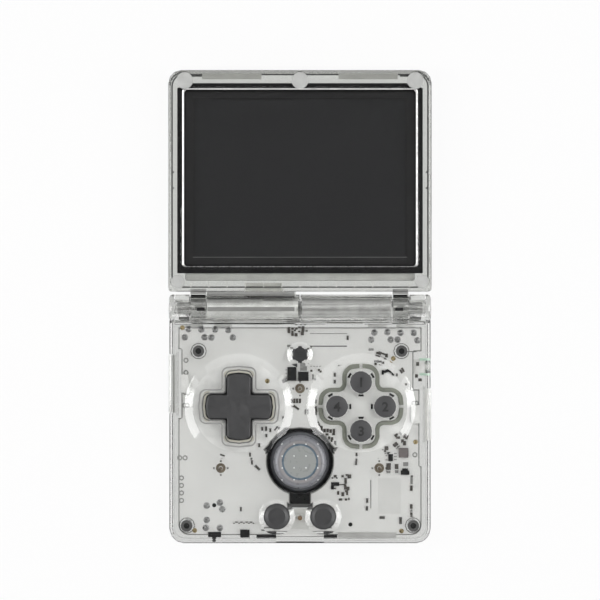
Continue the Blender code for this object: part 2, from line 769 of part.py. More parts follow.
def post_places():
    """Centres of the four case screw posts."""
    return [
        (-POST_X_REAR, front(POST_REACH_REAR)),
        (POST_X_REAR, front(POST_REACH_REAR)),
        (-POST_X_FRONT, front(POST_REACH_FRONT)),
        (POST_X_FRONT, front(POST_REACH_FRONT)),
    ]


def board_boss_places():
    """Centres of the three bosses that hold the board."""
    return [
        (0.0, front(MIDDLE_BOSS_REACH)),
        (-SIDE_BOSS_X, front(SIDE_BOSS_REACH)),
        (SIDE_BOSS_X, front(SIDE_BOSS_REACH)),
    ]


def button_places():
    """Names and centres of the four round face buttons."""
    y = front(PAD_REACH)
    return {
        "face_button_top": (PAD_X, y + BUTTON_Y_SPACING),
        "face_button_right": (PAD_X + BUTTON_X_SPACING, y),
        "face_button_bottom": (PAD_X, y - BUTTON_Y_SPACING),
        "face_button_left": (PAD_X - BUTTON_X_SPACING, y),
    }


def system_places():
    """Names and centres of the two system buttons."""
    return {
        "button_select": (-SYSTEM_X, front(SYSTEM_REACH)),
        "button_start": (SYSTEM_X, front(SYSTEM_REACH)),
    }


def hinge_trough():
    """Solid under the whole barrel that closes the base's shell below it."""
    trough = CHANNEL_RADIUS + BARREL_CHANNEL_WALL
    top = -CLOSED_GAP / 2 - BASE_FACE_WALL / 2
    rear = BASE_REAR_REACH - BASE_WALL / 2
    start = 180 + math.degrees(math.asin(-top / trough))
    end = 360 - math.degrees(math.acos(rear / trough))
    outline = arc((HINGE_Y, HINGE_Z), trough, start, end, BARREL_STEPS // 2)
    outline.append((HINGE_Y + rear, HINGE_Z + top))
    inner = BASE_HALF_WIDTH - BASE_WALL / 2
    return side_prism("trough", outline, -inner, inner)


def barrel_rods(sections, radius, steps=BARREL_STEPS):
    """Cylinders on the hinge axis, one for each (name, start, end)."""
    axis = (0.0, HINGE_Y, HINGE_Z)
    return [rod(name, "X", x0, x1, radius, axis, steps) for name, x0, x1 in sections]


def channel_cuts():
    """Room in the base for the lid's barrel sections and for the end caps."""
    sections = (
        ("channel_left", LEFT_KNUCKLE_INNER, MIDDLE_KNUCKLE_START),
        ("channel_right", MIDDLE_KNUCKLE_END, RIGHT_KNUCKLE_INNER),
        ("cap_seat_left", -BASE_HALF_WIDTH - OVERRUN, -KNUCKLE_OUTER),
        ("cap_seat_right", KNUCKLE_OUTER, BASE_HALF_WIDTH + OVERRUN),
    )
    return barrel_rods(sections, CHANNEL_RADIUS)


def knuckle_bores():
    """Bores for the hinge pins and the flex, with the flex's way down into the base."""
    pins = (
        ("pin_bore_left", -KNUCKLE_OUTER - OVERRUN, LEFT_KNUCKLE_INNER + OVERRUN),
        ("pin_bore_right", RIGHT_KNUCKLE_INNER - OVERRUN, KNUCKLE_OUTER + OVERRUN),
    )
    flex = (("flex_bore", MIDDLE_KNUCKLE_START - OVERRUN, MIDDLE_KNUCKLE_END + OVERRUN),)
    depth = CHANNEL_RADIUS + BARREL_CHANNEL_WALL + OVERRUN
    way_down = block(
        "flex_exit",
        (FLEX_BASE_START - FLEX_SLOT_GAP, HINGE_Y - BARREL_BORE / 2, HINGE_Z - depth),
        (FLEX_BASE_START + FLEX_WIDTH + FLEX_SLOT_GAP, HINGE_Y + BARREL_BORE / 2, HINGE_Z - BARREL_BORE / 2),
    )
    return barrel_rods(pins, PIN_BORE, SMALL_STEPS) + barrel_rods(flex, BARREL_BORE) + [way_down]


def key_collars():
    """Collar round the direction pad and skirt round the face buttons, under the face."""
    y = front(PAD_REACH)
    collar = cross_outline(
        DPAD_TIP + DPAD_TIP_GAP + DPAD_COLLAR_WALL,
        DPAD_HALF_WIDTH + DPAD_SIDE_GAP + DPAD_COLLAR_WALL,
        DPAD_END_BULGE,
        DPAD_OPENING_CORNER + DPAD_COLLAR_WALL,
        DPAD_OPENING_INSIDE_CORNER,
    )
    cluster = cross_outline(
        CLUSTER_TIP, CLUSTER_HALF_WIDTH, CLUSTER_BULGE, CLUSTER_CORNER, CLUSTER_INSIDE_CORNER
    )
    top = BASE_UNDERFACE + EMBED
    return [
        prism("dpad_collar", moved(collar, -PAD_X, y), BASE_UNDERFACE - DPAD_COLLAR_DEPTH, top),
        prism("button_skirt", moved(cluster, PAD_X, y), CLUSTER_SKIRT_BOTTOM, top),
    ]


def skirt_cuts():
    """Hollow of the face buttons' skirt and the four small gaps at its tips."""
    y = front(PAD_REACH)
    inside = cross_outline(
        CLUSTER_TIP - CLUSTER_WALL,
        CLUSTER_HALF_WIDTH - CLUSTER_WALL,
        CLUSTER_BULGE,
        CLUSTER_CORNER - CLUSTER_WALL,
        CLUSTER_INSIDE_CORNER + CLUSTER_WALL,
    )
    half = CLUSTER_TIP_GAP / 2
    reach = CLUSTER_TIP + OVERRUN
    low = CLUSTER_SKIRT_BOTTOM - OVERRUN
    return [
        prism("button_skirt_inside", moved(inside, PAD_X, y), low, BASE_UNDERFACE),
        block("skirt_gap_x", (PAD_X - reach, y - half, low), (PAD_X + reach, y + half, BASE_UNDERFACE)),
        block("skirt_gap_y", (PAD_X - half, y - reach, low), (PAD_X + half, y + reach, BASE_UNDERFACE)),
    ]


def key_openings():
    """Dishes sunk in the base face and the openings for every key on it."""
    y = front(PAD_REACH)
    opening = cross_outline(
        DPAD_TIP + DPAD_TIP_GAP,
        DPAD_HALF_WIDTH + DPAD_SIDE_GAP,
        DPAD_END_BULGE,
        DPAD_OPENING_CORNER,
        DPAD_OPENING_INSIDE_CORNER,
    )
    tools = [
        dish("dish_left", -PAD_X, y, PAD_DISH_OUTER, PAD_DISH_INNER),
        dish("dish_right", PAD_X, y, PAD_DISH_OUTER, PAD_DISH_INNER),
        prism("dpad_opening", moved(opening, -PAD_X, y), BOARD_TOP, BASE_THICKNESS + OVERRUN),
        face_hole("stick_hole", 0.0, front(STICK_REACH), STICK_OPENING),
        dish("menu_dish", 0.0, front(MENU_REACH), MENU_DISH_OUTER, MENU_RADIUS + SLIDE_GAP),
        face_hole("menu_hole", 0.0, front(MENU_REACH), MENU_RADIUS + SLIDE_GAP),
        face_hole("led_hole", 0.0, front(LED_REACH), LED_RADIUS + SLIDE_GAP),
    ]
    for name, (bx, by) in button_places().items():
        tools.append(face_hole(f"{name}_hole", bx, by, BUTTON_RADIUS + SLIDE_GAP))
    for name, (bx, by) in system_places().items():
        tools.append(dish(f"{name}_dish", bx, by, SYSTEM_DISH_OUTER, SYSTEM_RADIUS + SLIDE_GAP))
        tools.append(face_hole(f"{name}_hole", bx, by, SYSTEM_RADIUS + SLIDE_GAP))
    return tools


def side_key_window(name, side, reach, length):
    """Cutter for a side key's window in the left or right wall."""
    outer = BASE_HALF_WIDTH + OVERRUN
    inner = BASE_HALF_WIDTH - BASE_WALL - OVERRUN
    half = length / 2 + SLIDE_GAP
    xs = sorted((side * outer, side * inner))
    return block(
        name,
        (xs[0], front(reach) - half, ROCKER_BOTTOM - SLIDE_GAP),
        (xs[1], front(reach) + half, ROCKER_TOP + SLIDE_GAP),
    )


def make_base_front_shell(mat):
    """Upper half of the base with the key openings and the base's hinge knuckles."""
    corners = (BASE_FRONT_CORNER, BASE_REAR_CORNER)
    shell = shell_outside(
        "base_front_shell", base_bounds(), corners, BASE_PARTING, BASE_THICKNESS, BASE_EDGE_ROUND, True
    )
    x0, x1, y0, y1 = base_bounds(BASE_WALL)
    inside = rounded_rectangle(x0, x1, y0, y1, BASE_FRONT_CORNER - BASE_WALL, BASE_REAR_CORNER - BASE_WALL)
    cut(shell, prism("base_front_inside", inside, BASE_PARTING - OVERRUN, BASE_UNDERFACE))
    solids = [hinge_trough()] + key_collars()
    end = KNUCKLE_OUTER + EMBED
    solids += barrel_rods([("barrel", -end, end)], BARREL_RADIUS)
    drills = []
    for k, (x, y) in enumerate(post_places()):
        boss, drill = ribbed_boss(f"post_{k}", x, y, POST_RADIUS, POST_TIP, POST_BORE)
        solids += boss
        drills.append(drill)
    for k, (x, y) in enumerate(board_boss_places()):
        boss, drill = ribbed_boss(f"boss_{k}", x, y, BOSS_RADIUS, BOARD_TOP + SEAT_GAP, BOSS_BORE)
        solids += boss
        drills.append(drill)
    fuse(shell, *solids)
    scoop = rod(
        "thumb_scoop",
        "X",
        -SCOOP_HALF_WIDTH,
        SCOOP_HALF_WIDTH,
        SCOOP_RADIUS,
        (0.0, BASE_FRONT_Y, BASE_THICKNESS + SCOOP_RADIUS - SCOOP_DEPTH),
        SCOOP_STEPS,
    )
    windows = [
        side_key_window("rocker_window", -1, ROCKER_REACH, ROCKER_LENGTH),
        side_key_window("power_window", 1, POWER_REACH, POWER_LENGTH),
    ]
    cut(shell, *skirt_cuts(), *key_openings(), *drills, *windows, scoop)
    cut(shell, *channel_cuts(), solver="MANIFOLD")
    cut(shell, *knuckle_bores(), solver="MANIFOLD")
    return paint(shell, mat)


def shoulder_places():
    """Names, centres and lengths of the four shoulder buttons."""
    return {
        "shoulder_left_outer": (-SHOULDER_OUTER_X, SHOULDER_OUTER_LENGTH),
        "shoulder_left_inner": (-SHOULDER_INNER_X, SHOULDER_INNER_LENGTH),
        "shoulder_right_inner": (SHOULDER_INNER_X, SHOULDER_INNER_LENGTH),
        "shoulder_right_outer": (SHOULDER_OUTER_X, SHOULDER_OUTER_LENGTH),
    }


def make_base_rear_shell(mat):
    """Lower half of the base with screw posts, speaker grille and port openings."""
    corners = (BASE_FRONT_CORNER, BASE_REAR_CORNER)
    low_edge = BASE_PARTING - SEAT_GAP
    shell = shell_outside("base_rear_shell", base_bounds(), corners, 0.0, low_edge, BASE_EDGE_ROUND, False)
    x0, x1, y0, y1 = base_bounds(BASE_WALL)
    inside = rounded_rectangle(x0, x1, y0, y1, BASE_FRONT_CORNER - BASE_WALL, BASE_REAR_CORNER - BASE_WALL)
    cut(shell, prism("base_rear_inside", inside, BASE_FLOOR_WALL, BASE_PARTING + OVERRUN))
    posts = []
    cuts = []
    for k, (x, y) in enumerate(post_places()):
        place = (x, y, 0.0)
        low = BASE_FLOOR_WALL - EMBED
        posts.append(rod(f"rear_post_{k}", "Z", low, UNDER_BOARD, REAR_POST_RADIUS, place, SMALL_STEPS))
        high = UNDER_BOARD + OVERRUN
        cuts.append(rod(f"screw_hole_{k}", "Z", -OVERRUN, high, SCREW_HOLE_RADIUS, place, SMALL_STEPS))
        cuts.append(rod(f"screw_seat_{k}", "Z", -OVERRUN, SCREW_HEAD_DEPTH, SCREW_HEAD_RADIUS, place, SMALL_STEPS))
    fuse(shell, *posts)
    for name, (x, length) in shoulder_places().items():
        half = length / 2 + SLIDE_GAP
        cuts.append(block(
            f"{name}_window",
            (x - half, BASE_REAR_Y - BASE_WALL - OVERRUN, SHOULDER_BOTTOM - SLIDE_GAP),
            (x + half, BASE_REAR_Y + OVERRUN, BASE_PARTING + OVERRUN),
        ))
    y = front(SPEAKER_REACH)
    for k in range(GRILLE_SLOT_COUNT):
        x = SPEAKER_X + (k - (GRILLE_SLOT_COUNT - 1) / 2) * GRILLE_PITCH
        half = GRILLE_SLOT_WIDTH / 2
        cuts.append(block(
            f"grille_{k}",
            (x - half, y - GRILLE_SLOT_LENGTH / 2, -OVERRUN),
            (x + half, y + GRILLE_SLOT_LENGTH / 2, BASE_FLOOR_WALL + OVERRUN),
        ))
    card_low = UNDER_BOARD - (CARD_HEIGHT + CARD_MOUTH_HEIGHT) / 2
    cuts.append(usb_form("usb_window", SLIDE_GAP, BASE_REAR_Y - BASE_WALL - OVERRUN, BASE_REAR_Y + OVERRUN))
    cuts.append(block(
        "card_window",
        (CARD_X - CARD_MOUTH_HALF_WIDTH, BASE_FRONT_Y - OVERRUN, card_low),
        (CARD_X + CARD_MOUTH_HALF_WIDTH, BASE_FRONT_Y + BASE_WALL + OVERRUN, BASE_PARTING + OVERRUN),
    ))
    cuts.append(rod(
        "jack_window",
        "X",
        BASE_HALF_WIDTH - BASE_WALL - OVERRUN,
        BASE_HALF_WIDTH + OVERRUN,
        JACK_NOSE_RADIUS + SLIDE_GAP,
        (0.0, front(JACK_REACH), JACK_HEIGHT),
        SMALL_STEPS,
    ))
    cut(shell, *cuts)
    return paint(shell, mat)


def usb_form(name, margin, start, end):
    """Flattened tube form of the charging port along Y, grown by a margin."""
    half_width = USB_HALF_WIDTH + margin
    half_height = USB_HEIGHT / 2 + margin
    outline = rounded_outline([
        (-half_width, -half_height, half_height * PORT_ROUND_SHARE),
        (half_width, -half_height, half_height * PORT_ROUND_SHARE),
        (half_width, half_height, half_height * PORT_ROUND_SHARE),
        (-half_width, half_height, half_height * PORT_ROUND_SHARE),
    ])
    rings = [[(x, y, USB_CENTER_HEIGHT + z) for x, z in outline] for y in (start, end)]
    return stack(name, rings)


def make_hinge_caps(mat):
    """Domed caps that close the ends of the barrel."""
    for name, side in (("hinge_cap_left", -1), ("hinge_cap_right", 1)):
        outer = BASE_HALF_WIDTH
        inner = KNUCKLE_OUTER + SLIDE_GAP
        plug = PIN_BORE - SEAT_GAP
        profile = [(0.0, inner - END_CAP_PLUG_LENGTH), (plug, inner - END_CAP_PLUG_LENGTH), (plug, inner)]
        profile.append((BARREL_RADIUS, inner))
        for inset, drop in rounding(END_CAP_ROUND):
            profile.append((BARREL_RADIUS - inset, outer - drop))
        profile.append((0.0, outer))
        profile = [(radius, side * along) for radius, along in profile]
        paint(turned(name, profile, (0.0, HINGE_Y, HINGE_Z), "X", BARREL_STEPS), mat)


def make_main_board(mat):
    """White circuit board with its steps, key-shaped stick cut-out and post holes."""
    w = BOARD_HALF_WIDTH
    rear = front(BOARD_REAR_REACH)
    near = front(BOARD_FRONT_REACH)
    outline = rounded_outline([
        (-w, near, BOARD_CORNER),
        (w, near, BOARD_CORNER),
        (w, front(BOARD_RIGHT_STEP_END), 0),
        (w - BOARD_RIGHT_STEP, front(BOARD_RIGHT_STEP_END), 0),
        (w - BOARD_RIGHT_STEP, front(BOARD_RIGHT_NOTCH_END), 0),
        (w - BOARD_RIGHT_NOTCH, front(BOARD_RIGHT_NOTCH_END), 0),
        (w - BOARD_RIGHT_NOTCH, front(BOARD_RIGHT_NOTCH_START), 0),
        (w, front(BOARD_RIGHT_NOTCH_START), 0),
        (w, rear, 0),
        (-w, rear, 0),
        (-w, front(BOARD_LEFT_STEP_START), 0),
        (-w + BOARD_LEFT_STEP, front(BOARD_LEFT_STEP_START), 0),
        (-w + BOARD_LEFT_STEP, front(BOARD_LEFT_STEP_END), 0),
        (-w, front(BOARD_LEFT_STEP_END), 0),
    ])
    board = prism("main_board", outline, BOARD_BOTTOM, BOARD_TOP)
    low = BOARD_BOTTOM - OVERRUN
    high = BOARD_TOP + OVERRUN
    center = (0.0, front(STICK_REACH), 0.0)
    top = center[1] + BOARD_STICK_CUT - EMBED
    ears = [
        (-BOARD_EAR_HALF_BOTTOM, top - BOARD_EAR_DEPTH),
        (BOARD_EAR_HALF_BOTTOM, top - BOARD_EAR_DEPTH),
        (BOARD_EAR_HALF_TOP, top),
        (-BOARD_EAR_HALF_TOP, top),
    ]
    tail = STICK_TAIL_REACH + SEAT_GAP
    cut(
        board,
        rod("stick_cutout", "Z", low, high, BOARD_STICK_CUT, center, DISH_STEPS),
        prism("stick_ears", ears, low, high),
        block(
            "stick_tail_cutout",
            (-STICK_TAIL_HALF_WIDTH, center[1] - tail, low),
            (STICK_TAIL_HALF_WIDTH, center[1], high),
        ),
    )
    for k, (x, y) in enumerate(post_places()):
        hole = POST_RADIUS + BOARD_POST_HOLE_GAP
        cut(board, rod(f"post_hole_{k}", "Z", low, high, hole, (x, y, 0.0), SMALL_STEPS))
    return paint(board, mat)


def dome(name, x, y, radius, top):
    """Low rubber dome that stands on a key mat."""
    shoulder = top - (top - MAT_TOP) * DOME_SHOULDER_SHARE
    profile = [(0.0, MAT_BOTTOM), (radius, MAT_BOTTOM), (radius, shoulder)]
    profile += [(radius * DOME_CROWN_SHARE, top), (0.0, top)]
    return turned(name, profile, (x, y, 0.0), steps=SMALL_STEPS)


def make_dpad_membrane(mat):
    """Rubber mat under the direction pad with a dome below each arm."""
    x = -PAD_X
    y = front(PAD_REACH)
    outline = cross_outline(DPAD_MAT_TIP, DPAD_MAT_HALF_WIDTH, DPAD_END_BULGE, MAT_CORNER, MAT_CORNER)
    mat_sheet = prism("dpad_membrane", moved(outline, x, y), MAT_BOTTOM, MAT_TOP)
    domes = []
    for k in range(4):
        angle = k * math.pi / 2
        dx = DPAD_DOME_REACH * math.cos(angle)
        dy = DPAD_DOME_REACH * math.sin(angle)
        domes.append(dome(f"dpad_dome_{k}", x + dx, y + dy, DPAD_DOME_RADIUS, MAT_TOP + DPAD_DOME_RISE))
    fuse(mat_sheet, *domes)
    hole = DPAD_PIVOT_RADIUS + DPAD_SOCKET_GAP
    cut(mat_sheet, rod("pivot_hole", "Z", MAT_BOTTOM - OVERRUN, BASE_UNDERFACE, hole, (x, y, 0.0), SMALL_STEPS))
    return paint(mat_sheet, mat)


def make_face_button_membrane(mat):
    """Rubber mat under the four face buttons, inside their skirt."""
    y = front(PAD_REACH)
    outline = cross_outline(
        CLUSTER_TIP - CLUSTER_WALL - SEAT_GAP,
        CLUSTER_HALF_WIDTH - CLUSTER_WALL - SEAT_GAP,
        CLUSTER_BULGE,
        CLUSTER_CORNER - CLUSTER_WALL - SEAT_GAP,
        CLUSTER_INSIDE_CORNER + CLUSTER_WALL,
    )
    mat_sheet = prism("face_button_membrane", moved(outline, PAD_X, y), MAT_BOTTOM, MAT_TOP)
    top = BUTTON_RECESS_TOP - BUTTON_TRAVEL - SLIDE_GAP
    places = button_places().items()
    fuse(mat_sheet, *[dome(f"{name}_dome", bx, by, FACE_DOME_RADIUS, top) for name, (bx, by) in places])
    return paint(mat_sheet, mat)


def make_system_membrane(mat):
    """Rubber mat under the start and select buttons."""
    y = front(SYSTEM_REACH)
    outline = rounded_rectangle(
        -SYSTEM_MAT_HALF_LENGTH,
        SYSTEM_MAT_HALF_LENGTH,
        y - SYSTEM_MAT_HALF_WIDTH,
        y + SYSTEM_MAT_HALF_WIDTH,
        MAT_CORNER,
        MAT_CORNER,
    )
    mat_sheet = prism("start_select_membrane", outline, MAT_BOTTOM, MAT_TOP)
    top = SYSTEM_RECESS_TOP - SYSTEM_TRAVEL - SLIDE_GAP
    places = system_places().items()
    fuse(mat_sheet, *[dome(f"{name}_dome", bx, by, SYSTEM_DOME_RADIUS, top) for name, (bx, by) in places])
    reach = STICK_REACH + STICK_TAIL_REACH + SEAT_GAP
    notch_half = STICK_TAIL_HALF_WIDTH + SEAT_GAP
    cut(
        mat_sheet,
        block(
            "tail_notch",
            (-notch_half, front(reach), MAT_BOTTOM - OVERRUN),
            (notch_half, y + SYSTEM_MAT_HALF_WIDTH + OVERRUN, MAT_TOP + OVERRUN),
        ),
    )
    return paint(mat_sheet, mat)


def make_dpad(mat):
    """Cross-shaped pad with convex arm ends, a thumb dimple and a round flange."""
    x = -PAD_X
    y = front(PAD_REACH)
    pivot = (x, y, DPAD_PIVOT_HEIGHT)
    top = BASE_THICKNESS + DPAD_RISE
    rings = []
    for inset, height in [(0.0, DPAD_ARM_BOTTOM)] + [(i, top - d) for i, d in rounding(DPAD_EDGE_ROUND)]:
        outline = cross_outline(
            DPAD_TIP, DPAD_HALF_WIDTH, DPAD_END_BULGE, DPAD_CORNER, DPAD_INSIDE_CORNER, inset
        )
        rings.append([(px + x, py + y, height) for px, py in outline])
    pad = stack("dpad", rings, pivot)
    flange = rod(
        "dpad_flange", "Z", DPAD_FLANGE_BOTTOM, DPAD_FLANGE_TOP, DPAD_FLANGE_RADIUS, (x, y, 0.0), ROUND_STEPS
    )
    fuse(pad, flange)
    socket = DPAD_PIVOT_RADIUS + DPAD_SOCKET_GAP
    ball = (DPAD_DIMPLE_RADIUS**2 + DPAD_DIMPLE_DEPTH**2) / (2 * DPAD_DIMPLE_DEPTH)
    spread = math.asin(DPAD_DIMPLE_RADIUS / ball)
    bowl = [(0.0, top - DPAD_DIMPLE_DEPTH)]
    for k in range(1, EDGE_STEPS + 2):
        angle = spread * k / EDGE_STEPS
        bowl.append((ball * math.sin(angle), top - DPAD_DIMPLE_DEPTH + ball * (1 - math.cos(angle))))
    bowl.append((0.0, bowl[-1][1]))
    cut(
        pad,
        rod(
            "dpad_socket",
            "Z",
            DPAD_FLANGE_BOTTOM - OVERRUN,
            DPAD_PIVOT_TOP + SEAT_GAP,
            socket,
            (x, y, 0.0),
            SMALL_STEPS,
        ),
        turned("dpad_dimple", bowl, (x, y, 0.0), steps=ROUND_STEPS),
    )
    return paint(pad, mat)


def make_dpad_pivot(mat):
    """Round-headed post on which the direction pad rocks."""
    x = -PAD_X
    y = front(PAD_REACH)
    r = DPAD_PIVOT_RADIUS
    head = DPAD_PIVOT_TOP - DPAD_PIVOT_HEIGHT
    profile = [(0.0, MAT_BOTTOM), (r, MAT_BOTTOM), (r, DPAD_PIVOT_TOP - head)]
    for k in range(1, EDGE_STEPS):
        angle = math.pi / 2 * k / EDGE_STEPS
        profile.append((r * math.cos(angle), DPAD_PIVOT_TOP - head + head * math.sin(angle)))
    profile.append((0.0, DPAD_PIVOT_TOP))
    origin = (x, y, DPAD_PIVOT_HEIGHT)
    return paint(turned("dpad_pivot", profile, (x, y, 0.0), steps=SMALL_STEPS, origin=origin), mat)


def lug(name, x, y, angle, inner, outer, width, low, high):
    """Small radial bar at an angle round a button."""
    half = width / 2
    corners = [(inner, -half), (outer, -half), (outer, half), (inner, half)]
    turn = [
        (x + u * math.cos(angle) - v * math.sin(angle), y + u * math.sin(angle) + v * math.cos(angle))
        for u, v in corners
    ]
    return prism(name, turn, low, high)


def make_face_buttons(mat):
    """Four round domed buttons, each keyed by three lugs, one lug towards the middle."""
    middle = (PAD_X, front(PAD_REACH))
    top = BASE_THICKNESS + BUTTON_TOP_RISE
    for name, (x, y) in button_places().items():
        profile = [
            (0.0, BUTTON_RECESS_TOP),
            (BUTTON_RECESS_RADIUS, BUTTON_RECESS_TOP),
            (BUTTON_RECESS_RADIUS, BUTTON_BOTTOM),
            (BUTTON_RADIUS, BUTTON_BOTTOM),
        ]
        profile += [(BUTTON_RADIUS - inset, top - drop) for inset, drop in rounding(BUTTON_EDGE)]
        profile += [(BUTTON_RADIUS / 2, top + BUTTON_CROWN * CROWN_HALF_SHARE), (0.0, top + BUTTON_CROWN)]
        button = turned(name, profile, (x, y, 0.0), origin=(x, y, BUTTON_BOTTOM))
        inward = math.atan2(middle[1] - y, middle[0] - x)
        root = BUTTON_RADIUS - EMBED
        lugs = []
        for k in range(LUG_COUNT):
            angle = inward + 2 * math.pi * k / LUG_COUNT
            low = BUTTON_BOTTOM + LUG_STEP
            lugs.append(lug(f"{name}_lug_{k}", x, y, angle, root, LUG_REACH, LUG_WIDTH, low, LUG_TOP))
        fuse(button, *lugs)
        paint(button, mat)


def make_system_buttons(mat):
    """Start and select: flat discs with a sloped shoulder and a hidden flange."""
    top = BASE_THICKNESS - SYSTEM_TOP_DROP
    for name, (x, y) in system_places().items():
        profile = [
            (0.0, SYSTEM_RECESS_TOP),
            (SYSTEM_RECESS_RADIUS, SYSTEM_RECESS_TOP),
            (SYSTEM_RECESS_RADIUS, SYSTEM_BOTTOM),
            (SYSTEM_FLANGE_RADIUS, SYSTEM_BOTTOM),
            (SYSTEM_FLANGE_RADIUS, LUG_TOP),
            (SYSTEM_RADIUS, LUG_TOP),
            (SYSTEM_RADIUS, top - SYSTEM_SHOULDER_DROP),
            (SYSTEM_TOP_RADIUS + SYSTEM_TOP_STEP, top - SYSTEM_TOP_STEP),
            (SYSTEM_TOP_RADIUS, top),
            (0.0, top),
        ]
        paint(turned(name, profile, (x, y, 0.0), origin=(x, y, SYSTEM_BOTTOM)), mat)


def make_menu_button(mat):
    """Small round button whose flange has six lobes, and the switch below it."""
    x = 0.0
    y = front(MENU_REACH)
    top = BASE_THICKNESS - MENU_TOP_DROP
    profile = [(0.0, MENU_BOTTOM), (MENU_RADIUS, MENU_BOTTOM)]
    profile += [(MENU_RADIUS - inset, top - drop) for inset, drop in rounding(BUTTON_EDGE)]
    profile.append((0.0, top))
    button = turned("menu_button", profile, (x, y, 0.0), origin=(x, y, MENU_BOTTOM))
    root = MENU_RADIUS - EMBED
    low = MENU_BOTTOM + LUG_STEP
    lobes = []
    for k in range(MENU_LOBE_COUNT):
        angle = math.pi / 2 + 2 * math.pi * k / MENU_LOBE_COUNT
        lobes.append(lug(f"menu_lobe_{k}", x, y, angle, root, MENU_LOBE_REACH, MENU_LOBE_WIDTH, low, LUG_TOP))
    fuse(button, *lobes)
    return paint(button, mat)


def make_menu_switch(mat):
    """Push switch on the board under the menu button."""
    top = MENU_BOTTOM - MENU_TRAVEL - SLIDE_GAP
    shoulder = (MAT_BOTTOM + top) / 2
    profile = [
        (0.0, MAT_BOTTOM),
        (MENU_SWITCH_RADIUS, MAT_BOTTOM),
        (MENU_SWITCH_RADIUS, shoulder),
        (MENU_SWITCH_RADIUS / 2, shoulder),
        (MENU_SWITCH_RADIUS / 2, top),
        (0.0, top),
    ]
    return paint(turned("menu_switch", profile, (0.0, front(MENU_REACH), 0.0), steps=SMALL_STEPS), mat)


def make_status_light(mat):
    """Light pipe between the two system buttons."""
    top = BASE_THICKNESS - LED_SINK
    center = (0.0, front(LED_REACH), 0.0)
    return paint(rod("status_led_lens", "Z", top - LED_LENGTH, top, LED_RADIUS, center, SMALL_STEPS), mat)


def pin_pair(name, axis, start, end, radius, center):
    """Two pins that point away from a centre along an axis."""
    return [
        rod(f"{name}_low", axis, -end, -start, radius, center, SMALL_STEPS),
        rod(f"{name}_high", axis, start, end, radius, center, SMALL_STEPS),
    ]


